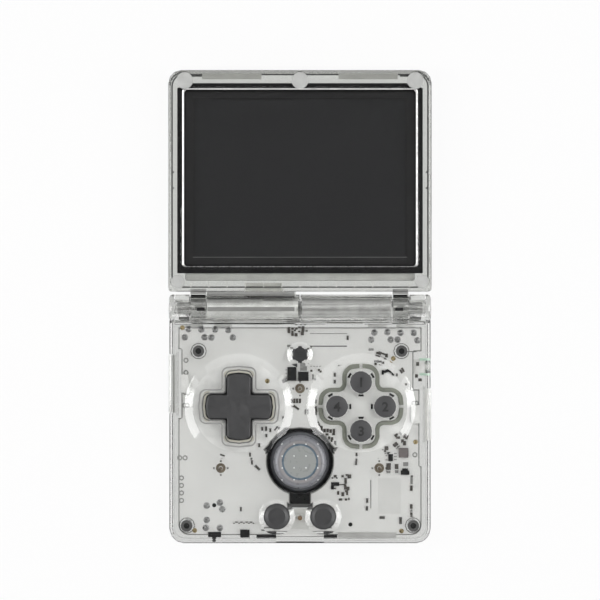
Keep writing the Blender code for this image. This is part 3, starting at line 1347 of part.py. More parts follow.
def make_stick(cap_mat, metal, black):
    """Thumb stick: cap, stem, inner block, outer yoke and the module they tilt in."""
    y = front(STICK_REACH)
    pivot = (0.0, y, STICK_PIVOT_HEIGHT)
    center = (0.0, y, 0.0)
    crest = STICK_CREST_HEIGHT - STICK_RIM_TOP
    slope = STICK_CAP_RADIUS - STICK_CREST_RADIUS
    profile = [
        (0.0, STICK_SOCKET_TOP),
        (STICK_STEM_RADIUS + SEAT_GAP, STICK_SOCKET_TOP),
        (STICK_STEM_RADIUS + SEAT_GAP, STICK_BOSS_BOTTOM),
        (STICK_BOSS_RADIUS, STICK_BOSS_BOTTOM),
        (STICK_BOSS_RADIUS, STICK_CAP_UNDERSIDE),
        (STICK_CAP_RADIUS - STICK_RIM_WALL, STICK_CAP_UNDERSIDE),
        (STICK_CAP_RADIUS - STICK_RIM_WALL, STICK_RIM_BOTTOM),
        (STICK_CAP_RADIUS, STICK_RIM_BOTTOM),
    ]
    for k in range(CREST_STEPS + 1):
        angle = math.pi / 2 * k / CREST_STEPS
        profile.append((STICK_CREST_RADIUS + slope * math.cos(angle), STICK_RIM_TOP + crest * math.sin(angle)))
    dip = STICK_CREST_HEIGHT - STICK_DISC_HEIGHT
    run = STICK_CREST_RADIUS - STICK_DISC_RADIUS
    for k in range(1, EDGE_STEPS + 1):
        angle = math.pi / 2 * k / EDGE_STEPS
        profile.append((STICK_CREST_RADIUS - run * math.sin(angle), STICK_DISC_HEIGHT + dip * math.cos(angle)))
    profile.append((0.0, STICK_DISC_HEIGHT))
    paint(turned("stick_cap", profile, center, steps=STICK_STEPS, origin=pivot), cap_mat)

    stem_top = STICK_SOCKET_TOP - SEAT_GAP
    stem = rod("stick_stem", "Z", STICK_STEM_BOTTOM, stem_top, STICK_STEM_RADIUS, center, SMALL_STEPS, pivot)
    paint(stem, metal)

    bore = STICK_STEM_RADIUS + SLIDE_GAP
    low = STICK_PIVOT_HEIGHT - STICK_BLOCK_HALF_HEIGHT
    high = STICK_PIVOT_HEIGHT + STICK_BLOCK_HALF_HEIGHT
    ring = [(bore, low), (STICK_BLOCK_RADIUS, low), (STICK_BLOCK_RADIUS, high), (bore, high)]
    inner_block = hollow_turned("stick_pivot_block", ring, center, origin=pivot)
    pin_start = (bore + STICK_BLOCK_RADIUS) / 2
    pin_end = STICK_YOKE_OUTER - SLIDE_GAP
    fuse(inner_block, *pin_pair("block_pin", "Y", pin_start, pin_end, STICK_BLOCK_PIN, pivot))
    paint(inner_block, black)

    low = STICK_PIVOT_HEIGHT - STICK_YOKE_HALF_HEIGHT
    high = STICK_PIVOT_HEIGHT + STICK_YOKE_HALF_HEIGHT
    ring = [(STICK_YOKE_INNER, low), (STICK_YOKE_OUTER, low), (STICK_YOKE_OUTER, high), (STICK_YOKE_INNER, high)]
    yoke = hollow_turned("stick_yoke", ring, center, origin=pivot)
    hole = STICK_BLOCK_PIN + SLIDE_GAP
    span = STICK_YOKE_OUTER + OVERRUN
    cut(yoke, rod("block_pin_holes", "Y", -span, span, hole, pivot, SMALL_STEPS))
    pin_start = (STICK_YOKE_INNER + STICK_YOKE_OUTER) / 2
    pin_end = STICK_WELL_RADIUS + STICK_TRUNNION_SEAT
    fuse(yoke, *pin_pair("yoke_pin", "X", pin_start, pin_end, STICK_YOKE_PIN, pivot))
    paint(yoke, metal)

    half = STICK_HOUSING_HALF
    outline = rounded_rectangle(-half, half, y - half, y + half, STICK_HOUSING_CORNER, STICK_HOUSING_CORNER)
    housing = prism("stick_module_housing", outline, STICK_HOUSING_BOTTOM, UNDER_BOARD)
    fuse(
        housing,
        block(
            "stick_tail",
            (-STICK_TAIL_HALF_WIDTH, y - STICK_TAIL_REACH, UNDER_BOARD - STICK_TAIL_THICKNESS),
            (STICK_TAIL_HALF_WIDTH, y - half + EMBED, UNDER_BOARD),
        ),
    )
    hole = STICK_YOKE_PIN + SLIDE_GAP
    span = pin_end + SEAT_GAP
    cut(
        housing,
        rod("stick_well", "Z", STICK_WELL_FLOOR, UNDER_BOARD + OVERRUN, STICK_WELL_RADIUS, center),
        rod("trunnion_bores", "X", -span, span, hole, pivot, SMALL_STEPS),
    )
    paint(housing, black)


def side_key_outline(side, reach, length, setback):
    """Plan outline of a side key: a bar in the wall and a wider flange inside it."""
    y = front(reach)
    half = length / 2
    flange_half = half + SIDE_FLANGE_OVERHANG
    outer = BASE_HALF_WIDTH + SIDE_KEY_PROUD
    seat = BASE_HALF_WIDTH - BASE_WALL - setback
    inner = seat - SIDE_FLANGE_THICKNESS
    edge = SIDE_KEY_PROUD
    points = [
        (outer - edge, -half),
        (outer, -half + edge),
        (outer, half - edge),
        (outer - edge, half),
        (seat, half),
        (seat, flange_half),
        (inner, flange_half),
        (inner, -flange_half),
        (seat, -flange_half),
        (seat, -half),
    ]
    return [(side * px, y + py) for px, py in points]


def make_side_keys(key_mat, switch_mat):
    """Volume rocker on the left, power button on the right, and their switches."""
    pivot = (-BASE_HALF_WIDTH + BASE_WALL / 2, front(ROCKER_REACH), ROCKER_HEIGHT)
    outline = side_key_outline(-1, ROCKER_REACH, ROCKER_LENGTH, ROCKER_END_SETBACK)
    paint(prism("volume_rocker", outline, ROCKER_BOTTOM, ROCKER_TOP, pivot), key_mat)
    seat = (BASE_HALF_WIDTH, front(POWER_REACH), ROCKER_HEIGHT)
    outline = side_key_outline(1, POWER_REACH, POWER_LENGTH, SEAT_GAP)
    paint(prism("power_button", outline, ROCKER_BOTTOM, ROCKER_TOP, seat), key_mat)
    edge_left = BOARD_HALF_WIDTH - BOARD_LEFT_STEP
    edge_right = BOARD_HALF_WIDTH - BOARD_RIGHT_STEP
    for name, side, edge, reach in (
        ("volume_switch", -1, edge_left, ROCKER_REACH),
        ("power_switch", 1, edge_right, POWER_REACH),
    ):
        xs = sorted((side * (edge - SIDE_SWITCH_DEPTH), side * edge))
        half = SIDE_SWITCH_LENGTH / 2
        low = (xs[0], front(reach) - half, MAT_BOTTOM)
        high = (xs[1], front(reach) + half, MAT_BOTTOM + SIDE_SWITCH_HEIGHT)
        paint(block(name, low, high), switch_mat)


def make_shoulder_buttons(key_mat, switch_mat):
    """Four push buttons in the rear wall, each in front of its own board switch."""
    nub_reach = SWITCH_REAR_REACH - SWITCH_NUB_LENGTH
    inner_y = front(nub_reach) + SHOULDER_TRAVEL + SLIDE_GAP
    outer_y = BASE_REAR_Y + SHOULDER_PROUD
    seat_y = BASE_REAR_Y - BASE_WALL - SEAT_GAP
    for name, (x, length) in shoulder_places().items():
        half = length / 2
        flange = half + SHOULDER_FLANGE_OVERHANG
        stem = SHOULDER_STEM_HALF_WIDTH
        outline = [
            (x - stem, inner_y),
            (x + stem, inner_y),
            (x + stem, seat_y - SHOULDER_FLANGE_THICKNESS),
            (x + flange, seat_y - SHOULDER_FLANGE_THICKNESS),
            (x + flange, seat_y),
            (x + half, seat_y),
            (x + half, outer_y - SHOULDER_ROUND),
            (x + half - SHOULDER_ROUND, outer_y),
            (x - half + SHOULDER_ROUND, outer_y),
            (x - half, outer_y - SHOULDER_ROUND),
            (x - half, seat_y),
            (x - flange, seat_y),
            (x - flange, seat_y - SHOULDER_FLANGE_THICKNESS),
            (x - stem, seat_y - SHOULDER_FLANGE_THICKNESS),
        ]
        origin = (x, BASE_REAR_Y, (SHOULDER_BOTTOM + SHOULDER_TOP) / 2)
        paint(prism(name, outline, SHOULDER_BOTTOM, SHOULDER_TOP, origin), key_mat)
        rear = front(SWITCH_REAR_REACH)
        switch = block(
            name.replace("shoulder", "switch"),
            (x - SWITCH_LENGTH / 2, rear - SWITCH_DEPTH, UNDER_BOARD - SWITCH_HEIGHT),
            (x + SWITCH_LENGTH / 2, rear, UNDER_BOARD),
        )
        middle = (x, 0.0, UNDER_BOARD - SWITCH_HEIGHT / 2)
        nub = rod(
            f"{name}_nub", "Y", rear - EMBED, front(nub_reach), SWITCH_NUB_RADIUS, middle, SMALL_STEPS
        )
        fuse(switch, nub)
        paint(switch, switch_mat)


def make_battery(mat):
    """Pouch battery on the base's floor."""
    low = FLOOR_SEAT
    high = FLOOR_SEAT + BATTERY_THICKNESS
    rings = []
    for inset, height in (
        (BATTERY_EDGE, low),
        (0.0, low + BATTERY_EDGE),
        (0.0, high - BATTERY_EDGE),
        (BATTERY_EDGE, high),
    ):
        outline = rounded_rectangle(
            -BATTERY_HALF_LENGTH,
            BATTERY_HALF_LENGTH,
            front(BATTERY_FRONT_REACH),
            front(BATTERY_REAR_REACH),
            BATTERY_CORNER,
            BATTERY_CORNER,
            inset,
        )
        rings.append([(x, y, height) for x, y in outline])
    return paint(stack("battery", rings), mat)


def make_processor_shield(mat):
    """Pressed metal can over the processor, under the board."""
    near = front(SHIELD_FRONT_REACH)
    far = front(SHIELD_REAR_REACH)
    half = SHIELD_HALF_WIDTH
    rings = []
    for inset, height in (
        (SHIELD_CORNER / 2, UNDER_BOARD - SHIELD_HEIGHT),
        (0.0, UNDER_BOARD - SHIELD_HEIGHT + SHIELD_CORNER / 2),
        (0.0, UNDER_BOARD),
    ):
        outline = rounded_rectangle(-half, half, near, far, SHIELD_CORNER, SHIELD_CORNER, inset)
        rings.append([(px, py, height) for px, py in outline])
    return paint(stack("processor_shield", rings), mat)


def make_speaker(mat):
    """Oblong speaker over the grille slots, its cone facing down."""
    y = front(SPEAKER_REACH)
    low = FLOOR_SEAT
    body = prism(
        "speaker",
        rounded_rectangle(
            SPEAKER_X - SPEAKER_HALF_LENGTH,
            SPEAKER_X + SPEAKER_HALF_LENGTH,
            y - SPEAKER_HALF_WIDTH,
            y + SPEAKER_HALF_WIDTH,
            SPEAKER_HALF_WIDTH / 2,
            SPEAKER_HALF_WIDTH / 2,
        ),
        low,
        low + SPEAKER_HEIGHT,
    )
    rings = []
    for inset, height in ((SPEAKER_CONE_MARGIN, low - OVERRUN), (2 * SPEAKER_CONE_MARGIN, low + SPEAKER_CONE_DEPTH)):
        outline = rounded_rectangle(
            SPEAKER_X - SPEAKER_HALF_LENGTH,
            SPEAKER_X + SPEAKER_HALF_LENGTH,
            y - SPEAKER_HALF_WIDTH,
            y + SPEAKER_HALF_WIDTH,
            SPEAKER_HALF_WIDTH / 2,
            SPEAKER_HALF_WIDTH / 2,
            inset,
        )
        rings.append([(px, py, height) for px, py in outline])
    cut(body, stack("speaker_cone", rings))
    return paint(body, mat)


def make_ports(metal, black):
    """Charging port, headphone jack and memory card slot."""
    mouth = BASE_REAR_Y - SEAT_GAP
    port = usb_form("usb_c_port", 0.0, mouth - USB_LENGTH, mouth)
    cut(port, usb_form("usb_hollow", -USB_WALL, mouth - USB_LENGTH + USB_WALL, mouth + OVERRUN))
    half = USB_HALF_WIDTH - USB_TONGUE_MARGIN
    fuse(
        port,
        block(
            "usb_tongue",
            (-half, mouth - USB_LENGTH + USB_WALL / 2, USB_CENTER_HEIGHT - USB_TONGUE_THICKNESS / 2),
            (half, mouth - USB_TONGUE_SETBACK, USB_CENTER_HEIGHT + USB_TONGUE_THICKNESS / 2),
        ),
    )
    paint(port, metal)

    y = front(JACK_REACH)
    seat = BASE_HALF_WIDTH - BASE_WALL - SEAT_GAP
    jack = block(
        "headphone_jack",
        (seat - JACK_BODY_LENGTH, y - JACK_BODY_HALF_WIDTH, JACK_HEIGHT - JACK_BODY_HALF_HEIGHT),
        (seat, y + JACK_BODY_HALF_WIDTH, JACK_HEIGHT + JACK_BODY_HALF_HEIGHT),
    )
    axis = (0.0, y, JACK_HEIGHT)
    nose_end = BASE_HALF_WIDTH - SEAT_GAP
    fuse(jack, rod("jack_nose", "X", seat - EMBED, nose_end, JACK_NOSE_RADIUS, axis, SMALL_STEPS))
    cut(
        jack,
        rod("jack_bore", "X", nose_end - JACK_BORE_DEPTH, nose_end + OVERRUN, JACK_BORE, axis, SMALL_STEPS),
    )
    paint(jack, black)

    near = BASE_FRONT_Y + BASE_WALL + SEAT_GAP
    card_slot = block(
        "card_slot",
        (CARD_X - CARD_HALF_WIDTH, near, UNDER_BOARD - CARD_HEIGHT),
        (CARD_X + CARD_HALF_WIDTH, near + CARD_LENGTH, UNDER_BOARD),
    )
    low = UNDER_BOARD - (CARD_HEIGHT + CARD_MOUTH_HEIGHT) / 2
    cut(
        card_slot,
        block(
            "card_mouth",
            (CARD_X - CARD_MOUTH_HALF_WIDTH, near - OVERRUN, low),
            (CARD_X + CARD_MOUTH_HALF_WIDTH, near + CARD_MOUTH_DEPTH, low + CARD_MOUTH_HEIGHT),
        ),
    )
    paint(card_slot, metal)


def lid_barrel_sections():
    """Left and right ends of the lid's two barrel sections and of their bridges."""
    return (
        ("left", LID_LEFT_START, LID_LEFT_END, LID_BRIDGE_LEFT_END),
        ("right", LID_RIGHT_START, LID_RIGHT_END, LID_RIGHT_END),
    )


def lens_opening(margin):
    """Outline of the display window in the lid's rim, grown by a margin."""
    return rounded_rectangle(
        -LENS_HALF_WIDTH - margin,
        LENS_HALF_WIDTH + margin,
        back(LENS_NEAR_REACH) - margin,
        back(LENS_FAR_REACH) + margin,
        LENS_CORNER + margin,
        LENS_CORNER + margin,
    )


def pad_places():
    """Names, centres, pad radii and post radii of the five rim pads."""
    return {
        "lid_pad_top_left": (-TOP_PAD_X, back(TOP_PAD_REACH), PAD_RADIUS, LID_POST_RADIUS),
        "lid_pad_top_middle": (0.0, back(TOP_PAD_REACH), PAD_RADIUS, LID_POST_RADIUS),
        "lid_pad_top_right": (TOP_PAD_X, back(TOP_PAD_REACH), PAD_RADIUS, LID_POST_RADIUS),
        "lid_pad_low_left": (-LOW_PAD_X, back(LOW_PAD_REACH), LOW_PAD_RADIUS, LID_LOW_POST_RADIUS),
        "lid_pad_low_right": (LOW_PAD_X, back(LOW_PAD_REACH), LOW_PAD_RADIUS, LID_LOW_POST_RADIUS),
    }


def make_lid_front_frame(mat):
    """Rim round the display with a sloped bezel, pad pockets and the lid's barrel sections."""
    corners = (LID_HINGE_CORNER, LID_TOP_CORNER)
    frame = shell_outside("lid_front_frame", lid_bounds(), corners, LID_PARTING, LID_FACE, LID_EDGE_ROUND, True)
    x0, x1, y0, y1 = lid_bounds(LID_WALL)
    inside = rounded_rectangle(x0, x1, y0, y1, LID_HINGE_CORNER, LID_TOP_CORNER - LID_WALL)
    cut(frame, prism("lid_front_inside", inside, LID_PARTING - OVERRUN, LID_UNDERFACE))
    rear = back(LID_REAR_REACH)
    solids = []
    bores = []
    for name, x0, x1, bridge_end in lid_barrel_sections():
        solids.append(block(
            f"bridge_{name}",
            (x0, HINGE_Y + BARREL_BORE, LID_FACE - LID_BRIDGE_DEPTH),
            (bridge_end, rear + LID_WALL / 2, LID_FACE - LID_EDGE_ROUND),
        ))
        solids += barrel_rods([(f"barrel_{name}", x0, x1)], BARREL_RADIUS)
        bores += barrel_rods([(f"barrel_bore_{name}", x0 - OVERRUN, x1 + OVERRUN)], BARREL_BORE)
    fuse(frame, *solids)
    cut(frame, *bores, *lug_slots(), *rim_cuts())
    return paint(frame, mat)


def lug_slots():
    """Flat pockets where the lid's two lugs meet the barrel."""
    tools = []
    for name, x0 in (("left", LID_LEFT_START), ("right", LID_RIGHT_START)):
        tools.append(block(
            f"lug_slot_{name}",
            (x0 - SLIDE_GAP / 2, HINGE_Y + LUG_SLOT_REACH, HINGE_Z + LUG_SLOT_FLOOR),
            (x0 + LUG_SLOT_LENGTH, HINGE_Y + BARREL_RADIUS + SLIDE_GAP, HINGE_Z + BARREL_RADIUS),
        ))
    return tools


def rim_cuts():
    """Display window with its sloped bezel, pad pockets, rim strips and the flex's pass."""
    tools = []
    rings = [[(x, y, z) for x, y in lens_opening(margin)] for margin, z in (
        (SEAT_GAP, LID_UNDERFACE - OVERRUN),
        (SEAT_GAP, LID_FACE - LENS_SINK),
        (SEAT_GAP + BEZEL_CHAMFER, LID_FACE),
        (SEAT_GAP + BEZEL_CHAMFER, LID_FACE + OVERRUN),
    )]
    tools.append(stack("lens_window", rings))
    floor = LID_FACE - PAD_POCKET_DEPTH
    for name, (x, y, radius, _) in pad_places().items():
        place = (x, y, 0.0)
        tools.append(rod(f"{name}_pocket", "Z", floor, LID_FACE + OVERRUN, radius + SLIDE_GAP, place, ROUND_STEPS))
    for side in (-1, 1):
        xs = sorted((side * RIM_STRIP_START, side * RIM_STRIP_END))
        y = back(RIM_STRIP_REACH)
        tools.append(block(
            f"rim_strip_{side}",
            (xs[0], y - RIM_STRIP_HALF_WIDTH, LID_FACE - RIM_STRIP_DEPTH),
            (xs[1], y + RIM_STRIP_HALF_WIDTH, LID_FACE + OVERRUN),
        ))
    level = HINGE_Z - FLEX_LEVEL
    far = back(LID_REAR_REACH) + LID_WALL + OVERRUN
    tools.append(block(
        "flex_pass",
        (FLEX_LID_START - FLEX_SLOT_GAP, HINGE_Y + BARREL_BORE / 2, level - FLEX_PASS_HALF_HEIGHT),
        (FLEX_LID_START + FLEX_WIDTH + FLEX_SLOT_GAP, far, level + FLEX_PASS_HALF_HEIGHT),
    ))
    return tools


def make_lid_back_cover(mat):
    """Outer shell of the lid with its screw posts and the ribs that back the display."""
    corners = (LID_HINGE_CORNER, LID_TOP_CORNER)
    high = LID_PARTING - SEAT_GAP
    cover = shell_outside("lid_back_cover", lid_bounds(), corners, LID_BACK, high, LID_EDGE_ROUND, False)
    x0, x1, y0, y1 = lid_bounds(LID_WALL)
    inside = rounded_rectangle(x0, x1, y0, y1, LID_HINGE_CORNER, LID_TOP_CORNER - LID_WALL)
    floor = LID_BACK + LID_BACK_WALL
    cut(cover, prism("lid_back_inside", inside, floor, high + OVERRUN))
    solids = []
    for name, (x, y, _, radius) in pad_places().items():
        top = LID_UNDERFACE - SEAT_GAP
        solids.append(rod(f"{name}_post", "Z", floor - EMBED, top, radius, (x, y, 0.0), SMALL_STEPS))
    lcd_bottom = LID_FACE - LENS_SINK - LENS_THICKNESS - SEAT_GAP - LCD_THICKNESS
    for k in range(LCD_RIB_COUNT):
        x = (k - (LCD_RIB_COUNT - 1) / 2) * LCD_HALF_WIDTH * 2 / LCD_RIB_COUNT
        solids.append(block(
            f"lcd_rib_{k}",
            (x - LCD_RIB_THICKNESS / 2, back(LCD_NEAR_REACH), floor - EMBED),
            (x + LCD_RIB_THICKNESS / 2, back(LCD_FAR_REACH), lcd_bottom - SEAT_GAP),
        ))
    fuse(cover, *solids)
    return paint(cover, mat)


def make_display(glass, panel, black):
    """Cover lens, display panel and the black gasket round the window."""
    top = LID_FACE - LENS_SINK
    outline = lens_opening(0.0)
    paint(prism("display_glass", outline, top - LENS_THICKNESS, top), glass)
    lcd_top = top - LENS_THICKNESS - SEAT_GAP
    outline = rounded_rectangle(
        -LCD_HALF_WIDTH,
        LCD_HALF_WIDTH,
        back(LCD_NEAR_REACH),
        back(LCD_FAR_REACH),
        LCD_CORNER,
        LCD_CORNER,
    )
    paint(prism("lcd_panel", outline, lcd_top - LCD_THICKNESS, lcd_top), panel)
    band_top = LID_UNDERFACE - SEAT_GAP
    far = back(BAND_FAR_REACH)
    outline = [
        (-BAND_HALF_WIDTH, back(BAND_NEAR_REACH)),
        (BAND_HALF_WIDTH, back(BAND_NEAR_REACH)),
        (BAND_HALF_WIDTH, far - BAND_CHAMFER_Y),
        (BAND_HALF_WIDTH - BAND_CHAMFER_X, far),
        (-BAND_HALF_WIDTH + BAND_CHAMFER_X, far),
        (-BAND_HALF_WIDTH, far - BAND_CHAMFER_Y),
    ]
    band = prism("display_gasket", outline, band_top - BAND_THICKNESS, band_top)
    low = band_top - BAND_THICKNESS - OVERRUN
    high = band_top + OVERRUN
    notch = LID_POST_RADIUS + CENTER_POST_CLEARANCE
    cut(
        band,
        prism("band_window", lens_opening(SEAT_GAP), low, high),
        rod("band_notch", "Z", low, high, notch, (0.0, back(TOP_PAD_REACH), 0.0), SMALL_STEPS),
    )
    paint(band, black)


def make_lid_pads(mat):
    """Round rubber pads that keep the closed lid off the base."""
    low = LID_FACE - PAD_POCKET_DEPTH + SEAT_GAP
    high = LID_FACE + PAD_PROUD
    for name, (x, y, radius, _) in pad_places().items():
        profile = [(0.0, low), (radius, low), (radius, high - PAD_PROUD / 2), (radius - PAD_PROUD / 2, high)]
        profile.append((0.0, high))
        paint(turned(name, profile, (x, y, 0.0)), mat)


def make_hinge_units(mat):
    """Friction hinge cartridges in the lid's barrel, with pins into the base's knuckles."""
    for name, side, lug_end in (
        ("hinge_unit_left", -1, -LID_LEFT_START),
        ("hinge_unit_right", 1, LID_RIGHT_END),
    ):
        outer = lug_end - HINGE_UNIT_INSET
        inner = outer - HINGE_UNIT_LENGTH
        radius = BARREL_BORE - SEAT_GAP
        profile = [
            (0.0, side * inner),
            (radius, side * inner),
            (radius, side * outer),
            (HINGE_PIN_RADIUS, side * outer),
            (HINGE_PIN_RADIUS, side * HINGE_PIN_END),
            (0.0, side * HINGE_PIN_END),
        ]
        unit = turned(name, profile, (0.0, HINGE_Y, HINGE_Z), "X", origin=(0.0, HINGE_Y, HINGE_Z))
        middle = side * (inner + outer) / 2
        half = HINGE_FLAT_LENGTH / 2
        pocket = block(
            f"{name}_flat",
            (middle - half, HINGE_Y - HINGE_FLAT_WIDTH / 2, HINGE_Z + radius - HINGE_FLAT_DEPTH),
            (middle + half, HINGE_Y + HINGE_FLAT_WIDTH / 2, HINGE_Z + radius + OVERRUN),
        )
        cut(unit, pocket)
        paint(unit, mat)


def ribbon(points, thickness):
    """Closed outline of a thin strip that follows a line of points."""
    sides = ([], [])
    for i, point in enumerate(points):
        before = Vector(points[max(i - 1, 0)])
        after = Vector(points[min(i + 1, len(points) - 1)])
        along = (after - before).normalized()
        across = Vector((-along.y, along.x)) * thickness / 2
        sides[0].append(tuple(Vector(point) + across))
        sides[1].append(tuple(Vector(point) - across))
    return sides[0] + sides[1][::-1]


def flex_coil(start_angle):
    """Line of a flat flex wound clockwise and inwards in the barrel."""
    points = []
    for k in range(FLEX_TURNS * SPIRAL_STEPS + 1):
        turn = k / SPIRAL_STEPS
        angle = math.radians(start_angle) - 2 * math.pi * turn
        radius = FLEX_LEVEL - FLEX_PITCH * turn
        points.append((HINGE_Y + radius * math.cos(angle), HINGE_Z + radius * math.sin(angle)))
    return points


def make_flexes(mat):
    """Display flex: one length wound in the lid's barrel, one in the base's knuckle."""
    coil = flex_coil(270)
    lead = [(back(LCD_NEAR_REACH) - FLEX_LCD_GAP, HINGE_Z - FLEX_LEVEL)]
    outline = ribbon(lead + coil, FLEX_THICKNESS)
    paint(side_prism("display_flex_lid", outline, FLEX_LID_START, FLEX_LID_START + FLEX_WIDTH), mat)
    coil = flex_coil(240)
    bend = coil[0]
    lead = [(bend[0], BOARD_TOP + SEAT_GAP), (bend[0], bend[1] - FLEX_THICKNESS)]
    outline = ribbon(lead + coil, FLEX_THICKNESS)
    paint(side_prism("display_flex_base", outline, FLEX_BASE_START, FLEX_BASE_START + FLEX_WIDTH), mat)


def main():
    clear_scene()
    clear = material("clear_shell", SHELL_CLEAR, 0.08, transmission=0.9)
    keys = material("key_plastic", KEY_GREY, 0.45)
    buttons = material("button_plastic", BUTTON_GREY, 0.4)
    board = material("white_board", BOARD_WHITE, 0.4)
    cream = material("cream_rubber", RUBBER_CREAM, 0.6)
    black = material("black_plastic", BLACK_PLASTIC, 0.35)
    stick = material("stick_rubber", STICK_GREY, 0.3)
    steel = material("steel", STEEL, 0.3, metallic=1.0)
    glass = material("display_glass", GLASS_DARK, 0.05)
    pads = material("pad_rubber", PAD_GREY, 0.6)
    foil = material("battery_foil", FOIL_GREY, 0.35, metallic=0.6)
    amber = material("flex_film", FLEX_AMBER, 0.3)

    make_base_front_shell(clear)
    make_base_rear_shell(clear)
    make_hinge_caps(clear)
    make_main_board(board)
    make_dpad_membrane(cream)
    make_face_button_membrane(cream)
    make_system_membrane(cream)
    make_dpad(keys)
    make_dpad_pivot(cream)
    make_face_buttons(buttons)
    make_system_buttons(keys)
    make_menu_button(keys)
    make_menu_switch(black)
    make_status_light(pads)
    make_stick(stick, steel, black)
    make_side_keys(keys, steel)
    make_shoulder_buttons(keys, black)
    make_battery(foil)
    make_processor_shield(steel)
    make_speaker(black)
    make_ports(steel, black)
    make_lid_front_frame(clear)
    make_lid_back_cover(clear)
    make_display(glass, black, black)
    make_lid_pads(pads)
    make_hinge_units(steel)
    make_flexes(amber)


main()
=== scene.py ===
"""Looks of the see-through folding game console: finishes, board parts, trim, light and camera.

Metres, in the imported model's own frame. The console lies on its back, opened flat, keys up,
with the lid towards +Y. What follows a node takes its place from the node's box or surface, and
the rest lies at the places named below.
"""

import math
import random

import bmesh
import bpy
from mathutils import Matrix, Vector
from mathutils.bvhtree import BVHTree

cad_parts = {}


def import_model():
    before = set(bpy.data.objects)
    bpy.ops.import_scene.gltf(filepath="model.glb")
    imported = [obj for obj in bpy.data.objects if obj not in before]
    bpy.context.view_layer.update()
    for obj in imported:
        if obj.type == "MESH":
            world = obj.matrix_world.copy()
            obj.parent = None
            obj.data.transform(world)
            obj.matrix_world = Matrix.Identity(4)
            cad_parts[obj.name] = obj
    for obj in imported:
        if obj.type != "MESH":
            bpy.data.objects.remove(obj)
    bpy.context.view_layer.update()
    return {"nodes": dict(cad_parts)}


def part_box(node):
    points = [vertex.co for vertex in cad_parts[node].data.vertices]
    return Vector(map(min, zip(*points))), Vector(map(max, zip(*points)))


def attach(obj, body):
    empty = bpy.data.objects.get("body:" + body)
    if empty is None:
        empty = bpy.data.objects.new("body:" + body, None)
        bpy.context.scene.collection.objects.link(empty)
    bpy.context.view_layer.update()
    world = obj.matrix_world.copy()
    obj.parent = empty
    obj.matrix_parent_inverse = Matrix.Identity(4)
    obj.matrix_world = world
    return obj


# Camera and light
CAMERA_LENS = 200.0
CAMERA_SENSOR = 36.0
VIEW_WIDTH = 0.1991
VIEW_CENTER_Y = 0.0022
WORLD_LIGHT = 0.45
# Reflected brightness by the sine of the height over the horizon
SKY_STEPS = ((0.0, 0.35), (0.2, 0.4), (0.3, 0.9), (0.6, 0.9), (0.7, 0.45), (0.85, 0.4), (0.93, 0.1))
FLOOR_COLOR = (0.9, 0.9, 0.9)
FLOOR_ROUGHNESS = 0.9
FLOOR_SIZE = 3.0
FLOOR_DROP = 0.0002
FLOOR_GLOW_SHARE = 0.9
# Lamps: elevation, distance, width and height of those that stand on both sides
SIDE_LAMP = (53.0, 0.7, 0.11, 0.62)
CORE_LAMP = (53.0, 0.75, 0.40, 0.26)
WIDE_LAMP = (53.0, 0.9, 0.75, 0.31)
MIDDLE_LAMP = (34.0, 0.7, 0.6, 0.2)
LOW_LAMP = (23.0, 0.8, 1.2, 0.45)
# Azimuth, elevation, distance, width, height and light of each lamp; soft boxes only light the
# console, and gloss strips only show in reflections
SOFTBOXES = {
    "back": (90.0, 68.0, 1.4, 0.9, 0.5, 1.8),
    "front": (-90.0, 50.0, 0.8, 0.5, 0.15, 1.2),
    "right": (0.0, *SIDE_LAMP, 5.5),
    "left": (180.0, *SIDE_LAMP, 5.5),
}
GLOSS_STRIPS = {
    "right_core": (0.0, *CORE_LAMP, 3.4),
    "left_core": (180.0, *CORE_LAMP, 3.4),
    "right_wide": (0.0, *WIDE_LAMP, 2.0),
    "left_wide": (180.0, *WIDE_LAMP, 2.0),
    "back_high": (90.0, 51.0, 0.95, 0.6, 0.16, 1.6),
    "right_middle": (0.0, *MIDDLE_LAMP, 4.0),
    "left_middle": (180.0, *MIDDLE_LAMP, 4.0),
    "right_low": (0.0, *LOW_LAMP, 3.0),
    "left_low": (180.0, *LOW_LAMP, 2.6),
    "front_low": (-90.0, 22.0, 0.85, 0.6, 0.25, 2.5),
}

# Colours, linear red, green and blue
WHITE = (1.0, 1.0, 1.0)
LENS_TINT = (0.98, 0.98, 0.98)
SHELL_TINT = (0.86, 0.863, 0.854)
# The lid's tint is darker than the face's: partly the plastic's tint, partly painted shade for the shaded
# floor seen through it
LID_TINT_WITH_PAINTED_SHADE = (0.802, 0.808, 0.793)
# Painted shade: darker tint of the lid's upright walls, for the dark edges that refraction gives them
LID_WALL_PAINTED_SHADE = (0.61, 0.615, 0.60)
SHELL_SHADE = (0.96, 0.96, 0.957)
BOARD_WHITE = (0.72, 0.72, 0.71)
BOARD_WHITE_DARK = (0.675, 0.675, 0.665)
CREAM = (0.66, 0.64, 0.55)
BLACK = (0.004, 0.004, 0.0045)
PANEL_BLACK = (0.020, 0.0204, 0.021)
STEEL = (0.55, 0.55, 0.54)
MAT_WHITE = (0.90, 0.90, 0.885)
BOOT_EDGE_PAINTED_SHADE = (0.010, 0.0105, 0.012)
BOOT_LIGHT = (0.09, 0.094, 0.105)
STICK_DISC = (0.323, 0.337, 0.328)
STICK_DARK_RING_REFLECTION = (0.11, 0.16, 0.21)
STICK_CREST_HIGHLIGHT = (0.29, 0.28, 0.28)
STICK_RIM = (0.21, 0.215, 0.235)
STICK_SLOPE = (0.20, 0.20, 0.215)
STICK_EDGE = (0.18, 0.185, 0.205)

# Clear finishes
SHELL_IOR = 1.55
LID_IOR = 1.38
LENS_IOR = 1.48
# Distances to the sides and to the ends beyond which the lid's walls have a painted shade, a darker tint of
# their own
LID_WALL_X = 0.0428
LID_WALL_Y = 0.0773
SHELL_GRAIN_DEPTH = 0.0000006
